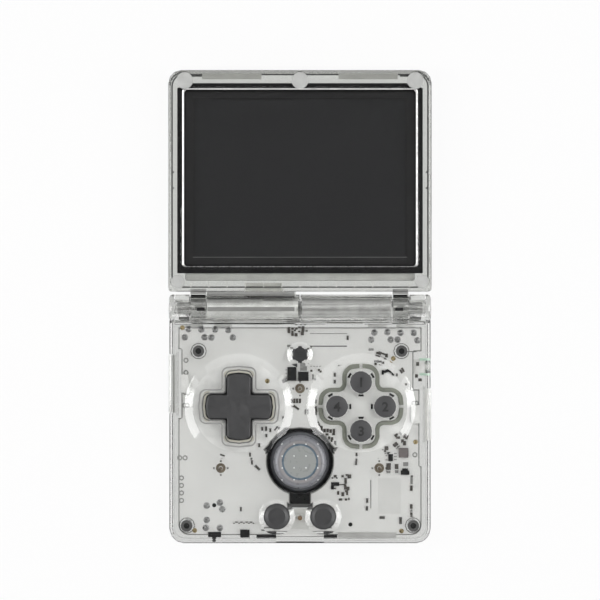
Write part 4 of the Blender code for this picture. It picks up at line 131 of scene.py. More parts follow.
# Tint, tint of the shadow, refraction, least and most roughness, depth of the grain, painted shade on the
# walls
CLEAR = {
    "clear": (SHELL_TINT, SHELL_SHADE, SHELL_IOR, 0.005, 0.03, SHELL_GRAIN_DEPTH),
    "clear_lid": (LID_TINT_WITH_PAINTED_SHADE, SHELL_SHADE, LID_IOR, 0.01, 0.05, 0.0000002, True),
    "lens": (LENS_TINT, LENS_TINT, LENS_IOR, 0.0, 0.01, 0.0000001),
    "side_clear": (SHELL_TINT, SHELL_SHADE, SHELL_IOR, 0.1, 0.2, SHELL_GRAIN_DEPTH),
}

# Moulded finishes: colour and roughness
MOULDED = {
    # Painted light: paler white for the board under the dishes
    "dish_painted_light": ((0.90, 0.90, 0.89), 0.4),
    "key": ((0.026, 0.026, 0.027), 0.5),
    "button": ((0.046, 0.046, 0.048), 0.45),
    "menu": ((0.018, 0.018, 0.019), 0.4),
    "glyph": ((0.006, 0.006, 0.006), 0.5),
    "volume_core": ((0.40, 0.40, 0.385), 0.5),
    "power_core": ((0.85, 0.85, 0.83), 0.5),
    "side_key": ((0.20, 0.20, 0.195), 0.4),
    "mat_white": (MAT_WHITE, 0.6),
    "milk": ((0.66, 0.66, 0.64), 0.6),
    "black": (BLACK, 0.32),
    "gasket": (BLACK, 0.7),
    "border": ((0.009, 0.009, 0.0092), 0.35),
    # Print, and painted shade on the panel's edges and in the hinge lugs' slots
    "ink_and_painted_shade": ((0.003, 0.003, 0.003), 0.35),
    "panel_face": (PANEL_BLACK, 0.12),
    # Painted highlight: pale line along the near edge of the panel's active area
    "panel_painted_highlight": ((0.09, 0.09, 0.09), 0.35),
    "ledge": ((0.50, 0.505, 0.485), 0.4),
    "band": ((0.255, 0.268, 0.225), 0.6),
    # Pale grey of the lid's ribs, also the painted highlight on the face's round openings
    "rim": ((0.62, 0.62, 0.60), 0.35),
    "pad": ((0.55, 0.555, 0.54), 0.5),
    "tape": ((0.30, 0.305, 0.28), 0.7),
    # Black of chips and other parts, also painted shade on the button lugs and in the pad's skirt
    "chip_black_and_painted_shade": ((0.010, 0.010, 0.0105), 0.45),
    "part": ((0.06, 0.052, 0.045), 0.45),
    "part_end": ((0.12, 0.12, 0.12), 0.35),
    "grey_part": ((0.24, 0.24, 0.235), 0.4),
    "brown_chip": ((0.14, 0.12, 0.12), 0.45),
    "patch": ((0.65, 0.65, 0.64), 0.45),
    "dark_line": ((0.05, 0.05, 0.05), 0.5),
    "plate": ((0.42, 0.42, 0.41), 0.4),
    # Grey of the lid's tabs, also painted shade on the hinge barrel and round the pad's collar
    "tab_grey_and_painted_shade": ((0.33, 0.33, 0.32), 0.5),
    # Dark grey of the painted shade rings in the case posts and of the painted highlight on the stick's
    # connector tail
    "collar": ((0.085, 0.085, 0.083), 0.4),
    # Grey of the screws, also painted shade round the pad's opening
    "screw_grey_and_painted_shade": ((0.15, 0.15, 0.148), 0.4),
    # Grey of the board's bare edge, also painted shade along the hinge barrel
    "edge_grey_and_painted_shade": ((0.22, 0.22, 0.21), 0.6),
    "plating": ((0.27, 0.27, 0.265), 0.35),
    "print": ((0.16, 0.16, 0.155), 0.6),
    "port_white": ((0.80, 0.80, 0.785), 0.4),
    "port_green": ((0.54, 0.74, 0.61), 0.4),
    "amber": ((0.42, 0.24, 0.05), 0.25),
    "film": ((0.53, 0.53, 0.50), 0.35),
    "brown_light": ((0.20, 0.135, 0.08), 0.3),
    "white_dot": ((0.75, 0.77, 0.77), 0.3),
}

# What differs from the usual grain, wear and gloss
SMOOTH_PRINT = {"grain_depth": 0.000001, "wear": 0.95, "gloss": 0.2}
MOULDED_WAYS = {
    "mat_white": {"grain_depth": 0.00002, "wear": 0.96},
    "milk": {"grain_depth": 0.00002},
    "black": {"gloss": 0.3},
    "gasket": {"grain_scale": 1800.0, "grain_depth": 0.00004, "gloss": 0.2},
    "border": SMOOTH_PRINT,
    "ink_and_painted_shade": SMOOTH_PRINT,
    "panel_face": {"grain_depth": 0.0000002, "wear": 0.96, "gloss": 0.2},
    "rim": {"wear": 0.95},
    "tape": {"grain_scale": 1500.0, "grain_depth": 0.00003},
    "chip_black_and_painted_shade": {"gloss": 0.2},
    "patch": {"wear": 0.95},
    "white_dot": {"wear": 0.95},
}

# Metal finishes: colour, roughness and the stretch of the drawn lines
BRUSHED_LINES = (1.0, 14.0, 1.0)
EVEN_LINES = (1.0, 1.0, 1.0)
BRUSHED = {
    "trim": ((0.36, 0.36, 0.355), 0.28, EVEN_LINES),
    "steel": (STEEL, 0.28, BRUSHED_LINES),
    "tin": ((0.42, 0.42, 0.42), 0.3, EVEN_LINES),
    "lid_sleeve": ((0.84, 0.84, 0.83), 0.42, (1.0, 0.05, 1.0)),
    "base_sleeve": ((0.53, 0.53, 0.52), 0.42, (1.0, 0.05, 1.0)),
    "gold": ((0.50, 0.40, 0.22), 0.3, EVEN_LINES),
    "copper": ((0.27, 0.23, 0.18), 0.4, EVEN_LINES),
    "foil": ((0.34, 0.34, 0.35), 0.4, (3.0, 1.0, 1.0)),
}

# Noises: scale, detail and a stretch along the axes; the gloss shares are the least and the most of
# a finish's roughness, and the wear is how dark its worn patches are
MOULD_PATCHES = (260.0, 4.0)
MOULD_UNEVEN = (900.0, 5.0)
MOULD_GRAIN_DETAIL = 2.0
MOULD_USUAL = {"grain_scale": 2600.0, "grain_depth": 0.00001, "wear": 0.82, "gloss": 0.5}
MOULD_GLOSS_SHARES = (0.8, 1.2)
BRUSH_NOISE = (1500.0, 3.0)
BRUSH_PATCHES = (320.0, 4.0)
BRUSH_WEAR = 0.75
BRUSH_GLOSS_SHARES = (0.7, 1.4)
BRUSH_DEPTH = 0.000004
CLEAR_SMEARS = (190.0, 5.0, (1.0, 0.35, 1.0))
CLEAR_GRAIN = (420.0, 4.0)
RUBBER_UNEVEN = (700.0, 4.0)
RUBBER_GRAIN = (2400.0, 2.0)
RUBBER_GRAIN_DEPTH = 0.000006
RUBBER_GLOSS_SHARES = (0.8, 1.25)
PANEL_NOISE = (900.0, 3.0, (12.0, 1.0, 1.0))
PANEL_GLOSS = (0.25, 0.4)
PANEL_GRAIN_DEPTH = 0.000003
PANEL_TOP_SHARE = 0.5
BOARD_PATCHES = (90.0, 5.0)
BOARD_WEAVE = (700.0, 2.0, (1.0, 6.0, 1.0))
BOARD_GLOSS = (0.34, 0.5)
BOARD_GRAIN_DEPTH = 0.000012

# Shading
WELD_DISTANCE = 0.000001
SMOOTH_ANGLE = 40.0
FACE_SMOOTH_ANGLE = 16.7
NOISE_LOW = 0.3
NOISE_HIGH = 0.7
# Steps of a small circle and of a round corner
FLAT_STEPS = 20
CORNER_STEPS = 6
# Part of a thin plate's height that its bevel takes
BEVEL_SHARE = 1 / 3
# Higher than every surface
LOOK_HEIGHT = 0.05

# Pieces round the display
PRINT_TOP_GAP = 0.00005
PRINT_THICKNESS = 0.00012
PRINT_MARGIN = 0.0001
ACTIVE_HALF_WIDTH = 0.03556
ACTIVE_NEAR_Y = 0.0161
ACTIVE_FAR_Y = 0.06945
PANEL_FACE_THICKNESS = 0.00006
PANEL_FACE_MARGIN = 0.0004
PANEL_LINE_WIDTH = 0.00022
PANEL_SHADE_WIDTH = 0.0006
SHEET_GAP = 0.00002
LENS_CORNER = 0.0010
# Gap from the glass, width and drop of the trim on each side
TRIM_SIDES = {
    "right": (0.00018, 0.00044, 0.00015),
    "left": (0.00022, 0.00036, 0.00026),
    "far": (0.00022, 0.00040, 0.00030),
    "near": (0.00003, 0.00028, 0.00024),
}
TRIM_BEND_SHARE = 0.5
TRIM_BEND_DROP_SHARE = 0.46
TRIM_THICKNESS = 0.0001
TRIM_TOP_GAP = 0.00003
LENS_EDGE_WIDTH = 0.00045
LENS_EDGE_THICKNESS = 0.00003
LEDGE_THICKNESS = 0.00012
LID_RIB_SPACING = 0.00605
LID_RIB_COUNT = 13
LID_RIB_WIDTH = 0.0004
LID_RIB_NEAR_Y = 0.0064
LID_RIB_FAR_Y = 0.0084
LID_RIB_HEIGHT = 0.0012
LID_UNDERFACE = 0.0135
# Painted shade: dark line along the lid's inner wall seen edge-on, with dark notches at its sides and bars at
# its far end
LID_LINE_REACH = 0.0427
LID_LINE_NEAR_Y = 0.00625
LID_LINE_FAR_Y = 0.07735
LID_LINE_CORNER = 0.0040
LID_LINE_WIDTH = 0.00045
# From and to in x
LID_BARS = ((-0.0365, -0.0326), (0.0332, 0.0362))
LID_BAR_Y = 0.07665
# Painted shade: dark bits scattered round the lid's far corners
LID_CORNER_X = 0.0387
LID_CORNER_Y = 0.0732
LID_CORNER_RADIUS = 0.00455
LID_CORNER_LENGTHS = (0.0005, 0.0007, 0.0004, 0.0006)
LID_CORNER_WIDTHS = (0.0007, 0.0004, 0.0006)
LID_CORNER_BITS = 10
LID_CORNER_START = 9.0
LID_CORNER_STEP = 8.0
# Turns of the bits, in radians, so that they lie unevenly
LID_CORNER_FIRST_TURN = 9.0
LID_CORNER_NEXT_TURN = 8.0
LID_SNAP_PLACES = (0.0394, 0.0447)
LID_SNAP_LENGTH = 0.0009
LID_SNAP_WIDTH = 0.0005
TAPE_START = 0.0128
TAPE_END = 0.0325
TAPE_NEAR_Y = 0.0755
TAPE_FAR_Y = 0.0773
TAPE_LOW = 0.01463
TAPE_HIGH = 0.01492

# Marks on the keys
GLYPH_SIZE = 0.0043
GLYPH_HEIGHT = 0.00006
GLYPH_SINK = 0.00002
GLYPH_WEIGHT = 0.00013
GLYPH_CUTS = 2
BUTTON_NUMBERS = {
    "face_button_top": "1", "face_button_right": "2", "face_button_bottom": "3", "face_button_left": "4",
}
# Painted shade: dark bars over the lugs of each face button
LUG_COUNT = 3
LUG_CATCH_REACH = 0.0042
LUG_BAR_REACH = 0.0045
LUG_BAR_LENGTH = 0.0018
LUG_BAR_WIDTH = 0.0005
LUG_BAR_HEIGHT = 0.00006
MARK_BAR_COUNT = 3
MARK_BAR_LENGTH = 0.0018
MARK_BAR_WIDTH = 0.00028
MARK_BAR_SPACING = 0.0006

# Thumb stick, and the bands of the rubber under the keys; the stick's pale crest ring and the dark blue ring
# inside it are painted reflections
STICK_BANDS = (
    (0.0, STICK_DISC),
    (0.0053, STICK_DISC),
    (0.0055, STICK_DARK_RING_REFLECTION),
    (0.0059, STICK_DARK_RING_REFLECTION),
    (0.0061, STICK_CREST_HIGHLIGHT),
    (0.0068, STICK_CREST_HIGHLIGHT),
    (0.0072, STICK_SLOPE),
    (0.0083, STICK_RIM),
    (0.0089, STICK_EDGE),
)
# Painted shade: the boot's outer band is black, where the wall of the opening lies in shadow
BOOT_BANDS = (
    (0.0, BOOT_LIGHT),
    (0.0093, BOOT_LIGHT),
    (0.0101, BOOT_EDGE_PAINTED_SHADE),
    (0.0103, BOOT_EDGE_PAINTED_SHADE),
)
PAD_MAT_BANDS = ((0.0, MAT_WHITE), (0.0108, MAT_WHITE), (0.0111, CREAM), (0.0140, CREAM))
# Banded finishes: the node they lie round, colours by distance from its middle, and roughness
BANDED = {
    "stick_rubber": ("stick_cap", STICK_BANDS, 0.3),
    "pad_mat": ("dpad_membrane", PAD_MAT_BANDS, 0.6),
    "stick_boot": ("stick_cap", BOOT_BANDS, 0.5),
}
# Radius and height of the boot's edges
BOOT_RINGS = ((0.0080, 0.00865), (0.0080, 0.00885), (0.0099, 0.00885), (0.0103, 0.0098), (0.0103, 0.00865))
# Painted highlight: paler strip on the curved end of the stick's connector tail
# From and to in x, then in y
TAIL_HIGHLIGHT = (-0.0033, 0.0033, -0.0669, -0.0658)
DOT_GRID = 0.00197
DOT_RADIUS = 0.00028
DOT_RISE = 0.00012
DOT_STEPS = (-3, -1, 1, 3)
DOT_SIDES = 12
# Shares of a dot's radius and of its rise
DOT_PROFILE_SHARES = ((0.0, -1.0), (1.0, -1.0), (1.0, 0.0), (0.8, 0.6), (0.4, 1.0), (0.0, 1.0))

# Screws
REAR_POST_PLACE = (0.0338, -0.0148)
FRONT_POST_PLACE = (0.0377, -0.0729)
BOSS_PLACES = ((0.0, -0.0273), (-0.0264, -0.0538), (0.0264, -0.0538))
CASE_SCREW_RADIUS = 0.00072
CASE_SCREW_TOP = 0.0114
CASE_HEAD_RADIUS = 0.00165
# Painted shade: dark ring round each case screw, inside its post
CASE_POST_SHADE_RADIUS = 0.00195
CASE_TIP_RADIUS = 0.00098
CASE_HEAD_LOW = 0.0007
CASE_HEAD_HIGH = 0.0022
SOCKET_RADIUS = 0.0008
SOCKET_DEPTH = 0.0008
SCREW_STEPS = 24
HEAD_EDGE_SHARE = 0.92
TIP_SHARE = 0.7
BOSS_PAD_RADIUS = 0.00165
BOSS_PAD_HOLE = 0.0007
BOSS_SCREW_RADIUS = 0.00055
BOSS_SCREW_TOP = 0.0122
BOSS_HEAD_RADIUS = 0.0013
BOSS_HEAD_HEIGHT = 0.0007
THREAD_PITCH = 0.0004
THREAD_DEPTH = 0.00008
TICK_REACH = 0.0023
TICK_SIZE = 0.0006
TICK_COUNT = 4

# Parts on the board
CHIP_HEIGHT = 0.0008
CHIP_INSET = 0.0001
PASSIVE_HEIGHT = 0.00045
PASSIVE_INSET = 0.00005
PASSIVE_END_SHARE = 0.26
PASSIVE_RATIO = 2
PRINT_HEIGHT = 0.00003
PIN_PAD_RADIUS = 0.00112
# Radius and height over the pad
PIN_PROFILE = ((0.00078, 0.00004), (0.00055, 0.00028), (0.00036, 0.00062), (0.00026, 0.0007), (0.0, 0.00072))
RING_OUTER = 0.00088
RING_INNER = 0.00045
RING_HEIGHT = 0.00006
GOLD_RADIUS = 0.0008
HOLE_RADIUS = 0.0007
LOW_PART_HEIGHT = 0.0003
LEG_HEIGHT = 0.00008
EDGE_STRIP_WIDTH = 0.00035
UPRIGHT_SHARE = 0.9
EDGE_PART_LOW = 0.0091
BAND_HEIGHT = 0.0007
BAND_GAP = 0.00005
BAND_TIP = 0.0142
BAND_HALF_WIDTH = 0.0062
BAND_WIDTH = 0.0014
BAND_CORNER = 0.0034
BAND_INSIDE_CORNER = 0.0014
BAND_TIP_GAP = 0.0010
BAND_OPEN_SHARE = 0.25
BAND_BULGE = 0.0010
UNDERSIDE_SEED = 11
UNDERSIDE_PITCH = 0.0031
UNDERSIDE_CHANCE = 0.42
UNDERSIDE_LEAST = 0.0007
UNDERSIDE_MOST = 0.0026
UNDERSIDE_HEIGHT = 0.0004
UNDERSIDE_CLEARANCE = 0.0006
POST_CLEARANCE = 0.0028

# Finish, height, inset of the upper edges and slot of each kind of block
BLOCK_LOOKS = {
    "chips": ("chip_black_and_painted_shade", CHIP_HEIGHT, CHIP_INSET, "black_plastic"),
    "brown_chips": ("brown_chip", CHIP_HEIGHT, CHIP_INSET, "black_plastic"),
    "dark_parts": ("part", PASSIVE_HEIGHT, PASSIVE_INSET, "black_plastic"),
    "grey_parts": ("grey_part", LOW_PART_HEIGHT, PASSIVE_INSET, "steel"),
    "legs": ("grey_part", LEG_HEIGHT, 0.0, "steel"),
    "patches": ("patch", PRINT_HEIGHT / 2, 0.0, "board"),
    "lines": ("print", PRINT_HEIGHT, 0.0, "black_plastic"),
}

# Tables of board parts are in tenths of a millimetre
TENTH = 0.0001

# Blocks on the board's top, in tenths: middle x, middle y, length in x and in y, and a turn in degrees
BOARD_BLOCKS = {
    "chips": (
        (117, -591, 27, 12), (108, -603, 10, 12), (302, -503, 15, 23), (350, -553, 28, 14),
        (350, -543, 19, 8), (-27, -224, 30, 46), (11, -232, 35, 31), (276, -219, 8, 15),
        (288, -215, 17, 9, 24), (302, -216, 15, 9, -22), (311, -224, 9, 10, -30),
    ),
    "brown_chips": ((345, -487, 32, 32),),
    "dark_parts": (
        (-212, -718, 8, 3), (-195, -718, 8, 3), (-178, -718, 8, 3), (-163, -718, 8, 3),
        (-220, -722, 5, 3), (-203, -722, 5, 3), (-187, -722, 5, 3), (-170, -722, 5, 3),
        (-155, -722, 5, 3), (62, -393, 8, 20, 25), (72, -406, 7, 17), (82, -413, 8, 12),
        (92, -413, 8, 12), (102, -415, 8, 12), (113, -415, 8, 15), (90, -426, 10, 7),
        (112, -425, 10, 8), (85, -435, 7, 8), (97, -438, 8, 10), (107, -440, 8, 10), (105, -448, 7, 7),
        (118, -477, 8, 3), (117, -565, 10, 8), (108, -571, 5, 5), (123, -571, 5, 5), (142, -565, 8, 8),
        (157, -561, 10, 5), (165, -566, 12, 13), (117, -606, 7, 4), (140, -593, 20, 3),
        (152, -581, 8, 20), (151, -601, 8, 17), (160, -606, 10, 12), (155, -615, 10, 7),
        (127, -621, 7, 12), (143, -625, 10, 13), (157, -623, 7, 10), (135, -643, 12, 7),
        (153, -643, 8, 7), (163, -641, 5, 8), (-13, -58, 8, 8), (3, -58, 8, 8), (17, -58, 8, 8),
        (-37, -78, 9, 20), (-25, -73, 8, 8), (-12, -73, 8, 8), (-25, -84, 7, 7), (-17, -79, 7, 5),
        (10, -74, 10, 18), (8, -89, 10, 13), (-25, -93, 8, 10), (-13, -94, 10, 10), (-3, -83, 7, 5),
        (22, -81, 7, 5), (35, -134, 8, 8), (322, -430, 13, 13, 30), (356, -435, 8, 15, -18),
        (332, -441, 13, 8), (348, -455, 10, 15), (323, -465, 17, 12, 38), (292, -478, 13, 13),
        (287, -488, 7, 7), (295, -533, 15, 22), (322, -533, 12, 17), (373, -565, 7, 5),
        (371, -605, 8, 17), (371, -666, 8, 15), (371, -690, 8, 8), (371, -698, 7, 5),
        (-19, -314, 7, 15), (-10, -314, 7, 15), (0, -314, 7, 15), (-13, -336, 23, 7, -36),
        (38, -214, 7, 7), (63, -211, 7, 7), (51, -316, 8, 13), (52, -336, 8, 8), (52, -356, 8, 12),
        (262, -156, 17, 7, -20), (288, -163, 10, 13), (280, -181, 8, 8), (252, -191, 8, 8),
        (270, -192, 13, 7), (328, -223, 5, 10), (343, -211, 7, 15, 30), (360, -256, 7, 7),
        (392, -191, 10, 13), (388, -231, 10, 12), (400, -244, 12, 10),
    ),
    "grey_parts": (
        (117, -456, 8, 17), (-37, -131, 12, 8), (340, -425, 7, 13, 35), (295, -551, 13, 8),
        (322, -550, 12, 10), (352, -525, 17, 13), (372, -578, 8, 27), (371, -680, 7, 7),
        (12, -206, 23, 15), (-47, -244, 12, 13, 20), (237, -143, 17, 8), (257, -175, 17, 7),
        (18, -351, 5, 17), (43, -234, 5, 17),
    ),
    "legs": (
        (279, -473, 6, 3), (279, -483, 6, 3), (318, -489, 9, 3), (318, -500, 9, 3), (318, -510, 9, 3),
        (288, -497, 7, 3), (288, -511, 7, 3), (-46, -211, 5, 3), (-46, -223, 5, 3), (-46, -234, 5, 3),
        (37, -199, 5, 3), (47, -199, 5, 3), (57, -199, 5, 3), (67, -199, 5, 3),
    ),
    "patches": ((298, -631, 76, 119),),
    "lines": (
        (95, -132, 123, 4), (95, -90, 123, 2), (236, -625, 3, 95), (367, -150, 43, 3),
        (-113, -745, 32, 5), (-96, -746, 35, 5), (96, -746, 35, 5),
    ),
}

# Two-ended parts, in tenths: middle x, middle y, width, length, and a turn in degrees
TWO_ENDED_PARTS = (
    (-126, -407, 7, 13), (-113, -407, 7, 15), (-99, -412, 7, 13), (-112, -430, 7, 11),
    (-136, -462, 7, 13), (-165, -500, 7, 13), (-160, -519, 7, 15), (-197, -675, 7, 15),
    (188, -498, 7, 14), (187, -521, 7, 14), (116, -227, 8, 13), (116, -250, 8, 13), (224, -646, 8, 15),
    (223, -672, 8, 15), (335, -713, 10, 23), (53, -345, 10, 12), (-2, -69, 10, 7),
    (-55, -370, 8, 8, 90), (-68, -405, 7, 8, 90), (274, -703, 9, 17, 90), (131, -192, 7, 15, 90),
    (267, -177, 7, 17, 90), (159, -104, 15, 7, 90), (-142, -537, 9, 22, 47), (-261, -502, 5, 17, 73),
    (274, -156, 7, 27, 70), (-80, -406, 5, 17, 142),
)

# Round places on the board's top, in tenths: middle x and y
BOARD_DISCS = {
    "holes": (
        (-380, -179), (-380, -220), (-382, -286), (-384, -329), (-401, -504), (-383, -504), (387, -322),
        (387, -362), (383, -494), (-395, -571), (-395, -596), (-395, -621), (-395, -646),
    ),
    "pins": (
        (-311, -663), (-267, -653), (-259, -675), (-311, -711), (-314, -737), (-267, -737), (-372, -75),
        (-329, -76), (-283, -76), (-239, -78), (-384, -102), (-318, -102), (-295, -103), (-224, -103),
        (248, -86), (291, -85), (335, -87), (379, -87), (237, -110), (302, -110), (325, -110),
        (391, -112),
    ),
    "gold": ((-351, -746), (338, -748), (311, -173), (385, -451), (-109, -248), (-392, -70),),
    "bare": ((-286, -662), (168, -726), (-286, -770),),
}

# Openings round the keys, side keys, jack seals and battery tape
PAD_PROUD = 0.0004
BUTTON_X_SPACING = 0.0080
BUTTON_Y_SPACING = 0.0081
JACK_SEAL_LENGTH = 0.0032
JACK_SEAL_WIDTH = 0.0008
JACK_SEAL_HEIGHT = 0.0003
BATTERY_TAPE_WIDTH = 0.0060
TAPE_INSET_SHARE = 0.06
CORE_INSET = 0.0014
CORE_WIDTH = 0.0006
CORE_END_GAP = 0.0010
# Painted highlight: bright ring on the inner edge of the face's round openings
RIM_INNER = 0.00378
RIM_OUTER = 0.00402
RIM_DEPTH = 0.0002
RIM_STEPS = 40

# Hinge barrel
HINGE_Y = -0.000525
HINGE_Z = 0.01535
SLEEVE_INNER = 0.00285
SLEEVE_OUTER = 0.00315
SLEEVE_OPENING_ANGLE = -20.0
SLEEVE_STEPS = 32
# From and to in x, and the body that carries the sleeve
SLEEVES = {"lid_sleeve": (-0.0309, -0.0006, "lid"), "base_sleeve": (0.0006, 0.0302, "base")}
# Painted shade: black sheets in the lugs' slots, where the lid meets the barrel
LUG_SLOT_SHADES = ((-0.0362, -0.0313), (0.0309, 0.0357))
LUG_SHADE_NEAR_Y = 0.0033
LUG_SHADE_FAR_Y = 0.00395
LUG_SHADE_LOW = 0.01517
LUG_SHADE_HIGH = 0.0161
# Finish, and for each strip from and to in x, then in y; the barrel band, the barrel shade and the lug shades
# are painted shade along the barrel's curve and at the lugs
BARREL_STRIPS = {
    "lid_tabs": ("tab_grey_and_painted_shade", ((-0.0364, -0.0312, 0.0042, 0.0059), (0.0308, 0.0359, 0.0042, 0.0059))),
    "barrel_painted_shade_band": ("tab_grey_and_painted_shade", ((-0.0309, -0.0018, 0.0036, 0.0050),)),
    "barrel_seam": ("dark_line", ((-0.0306, -0.0130, 0.00245, 0.0029), (-0.0123, -0.0018, 0.00305, 0.0035))),
    "barrel_shade": ("edge_grey_and_painted_shade", ((-0.0306, -0.0018, -0.0015, -0.0001),)),
    "lug_shades": ("ink_and_painted_shade", ((-0.0362, -0.0313, 0.0029, 0.0032), (0.0309, 0.0357, 0.0029, 0.0032))),
    "pin_windows": ("chip_black_and_painted_shade", ((-0.0341, -0.0315, -0.0014, -0.0003), (0.0315, 0.0341, -0.0014, -0.0003))),
}
DRAPE_STEPS = 8

# Painted light: paler white discs on the board under the dishes, where the board lies in shade
DISH_X = 0.0203
DISH_Y = -0.033225
LIT_DISC_RADIUS = 0.0154
LIT_DISC_GAP = 0.000005

# Painted shade lines and skirt round the direction pad
PAD_TIP = 0.01095
PAD_HALF_WIDTH = 0.0039
PAD_CORNER = 0.0012
PAD_INSIDE_CORNER = 0.0012
PAD_BULGE = 0.0008
# Painted shade: grey lines along the edges of the pad's opening and of its collar
# Gap at the pad's sides, gap at its tips, width and finish
PAD_SHADE_LINES = {
    "pad_opening_painted_shade": (0.00035, 0.0010, 0.00040, "screw_grey_and_painted_shade"),
    "pad_collar_painted_shade": (0.00137, 0.0021, 0.00055, "tab_grey_and_painted_shade"),
}
PAD_SHADE_START_SHARE = 0.1
# The skirt is partly the pad's dark flange and partly painted shadow of the gap round the pad
PAD_SKIRT_SIDE = 0.00030
PAD_SKIRT_TIP = 0.00028
PAD_SKIRT_OVERLAP = 0.0001
PAD_SKIRT_DROP = 0.0022

# Blocks and plates at the board's front edge: from and to in x, then in y, height over the board
EDGE_BLOCKS = (
    (-0.0306, -0.0263, -0.0768, -0.0751, 0.0008),
    (-0.0199, -0.0168, -0.0769, -0.0743, 0.0011),
    (-0.0145, -0.0079, -0.0770, -0.0760, 0.0007),
    (0.0079, 0.0124, -0.0770, -0.0760, 0.0007),
)
EDGE_PLATES = ((0.0126, 0.0321, -0.0770, -0.0753, 0.0004),)

# Nodes and switches that the parts under the board keep clear of
UNDERSIDE_BLOCKERS = (
    "processor_shield", "stick_module_housing", "card_slot", "headphone_jack", "usb_c_port",
    "switch_left_outer", "switch_left_inner", "switch_right_inner", "switch_right_outer",
)


# Material helpers


def add_node(tree, kind, inputs=None, **settings):
    """Shader node with its settings; each input is a socket to follow or a plain value."""
    node = tree.nodes.new(f"ShaderNode{kind}")
    for key, value in settings.items():
        setattr(node, key, value)
    for key, value in (inputs or {}).items():
        target = node.inputs[key]
        if isinstance(value, bpy.types.NodeSocket):
            tree.links.new(value, target)
        elif target.type == "RGBA":
            target.default_value = (*value, 1.0)
        else:
            target.default_value = value
    return node


def start_material(name, color, roughness, metallic=0.0):
    """New node material with the plain sockets of its Principled shader set."""
    made = bpy.data.materials.new(name)
    made.use_nodes = True
    made.diffuse_color = (*color, 1.0)
    tree = made.node_tree
    shader = tree.nodes["Principled BSDF"]
    shader.inputs["Base Color"].default_value = (*color, 1.0)
    shader.inputs["Roughness"].default_value = roughness
    shader.inputs["Metallic"].default_value = metallic
    return made, tree, shader


def noise(tree, scale, detail, stretch=None):
    """Noise over the piece's own coordinates, stretched along an axis if asked."""
    place = add_node(tree, "TexCoord").outputs["Object"]
    if stretch:
        place = add_node(tree, "Mapping", {"Vector": place, "Scale": stretch}).outputs["Vector"]
    return add_node(tree, "TexNoise", {"Vector": place, "Scale": scale, "Detail": detail}).outputs["Fac"]


def spread(tree, factor, low, high):
    """The middle of a noise's range, mapped to a range of values."""
    inputs = {"Value": factor, "From Min": NOISE_LOW, "From Max": NOISE_HIGH, "To Min": low, "To Max": high}
    return add_node(tree, "MapRange", inputs).outputs["Result"]


def blend_colors(tree, factor, first, second):
    """Colour between two colours by a factor."""
    inputs = {"Factor": factor, "A": first, "B": second}
    return add_node(tree, "Mix", inputs, data_type="RGBA").outputs["Result"]


def calculate(tree, operation, first, second=0.0):
    """Outcome of a sum or a comparison of sockets or values."""
    return add_node(tree, "Math", {0: first, 1: second}, operation=operation).outputs["Value"]


def mottle(tree, patches, dark, light):
    """Colour that wanders between two colours with a noise."""
    return blend_colors(tree, spread(tree, patches, 0.0, 1.0), dark, light)


def darker(color, share):
    """A colour times a share of brightness."""
    return tuple(value * share for value in color)


def dress_shader(tree, shader, tint, uneven, low, high, fine, depth):
    """Colour, gloss that wanders between two roughnesses, and a fine grain of a given depth."""
    if tint:
        tree.links.new(tint, shader.inputs["Base Color"])
    tree.links.new(spread(tree, uneven, low, high), shader.inputs["Roughness"])
    relief = add_node(tree, "Bump", {"Distance": depth, "Height": fine})
    tree.links.new(relief.outputs["Normal"], shader.inputs["Normal"])


def moulded(name, color, roughness, grain_scale, grain_depth, wear, gloss):
    """Moulded plastic, rubber or metal: mottled colour, uneven gloss and fine grain."""
    made, tree, shader = start_material(name, color, roughness)
    shader.inputs["Specular IOR Level"].default_value = gloss
    tint = mottle(tree, noise(tree, *MOULD_PATCHES), darker(color, wear), color)
    low, high = (roughness * share for share in MOULD_GLOSS_SHARES)
    fine = noise(tree, grain_scale, MOULD_GRAIN_DETAIL)
    dress_shader(tree, shader, tint, noise(tree, *MOULD_UNEVEN), low, high, fine, grain_depth)
    return made


def brushed(name, color, roughness, stretch):
    """Metal with fine drawn lines and a few dull patches."""
    made, tree, shader = start_material(name, color, roughness, 1.0)
    lines = noise(tree, *BRUSH_NOISE, stretch)
    tint = mottle(tree, noise(tree, *BRUSH_PATCHES), darker(color, BRUSH_WEAR), color)
    low, high = (roughness * share for share in BRUSH_GLOSS_SHARES)
    dress_shader(tree, shader, tint, lines, low, high, lines, BRUSH_DEPTH)
    return made


def wall_painted_shade(tree, color):
    """Colour of the lid's plastic, with painted shade, a darker tint, in its upright walls at the sides and
    the ends.
    """
    place = add_node(tree, "TexCoord").outputs["Object"]
    split = add_node(tree, "SeparateXYZ", {"Vector": place}).outputs
    beyond = [
        calculate(tree, "GREATER_THAN", calculate(tree, "ABSOLUTE", split[axis]), limit)
        for axis, limit in (("X", LID_WALL_X), ("Y", LID_WALL_Y))
    ]
    return blend_colors(tree, calculate(tree, "MAXIMUM", *beyond), color, LID_WALL_PAINTED_SHADE)


def see_through(name, color, shade, ior, low, high, grain_depth, painted_wall_shade=False):
    """Clear plastic or glass that lets the lamps through to what lies under it."""
    made, tree, shader = start_material(name, color, low)
    shader.inputs["Transmission Weight"].default_value = 1.0
    shader.inputs["IOR"].default_value = ior
    tint = wall_painted_shade(tree, color) if painted_wall_shade else None
    fine = noise(tree, *CLEAR_GRAIN)
    dress_shader(tree, shader, tint, noise(tree, *CLEAR_SMEARS), low, high, fine, grain_depth)
    shadow = add_node(tree, "LightPath").outputs["Is Shadow Ray"]
    open_way = add_node(tree, "BsdfTransparent", {"Color": shade})
    mix_to_surface(tree, "Material Output", shadow, shader.outputs["BSDF"], open_way.outputs["BSDF"])
    return made


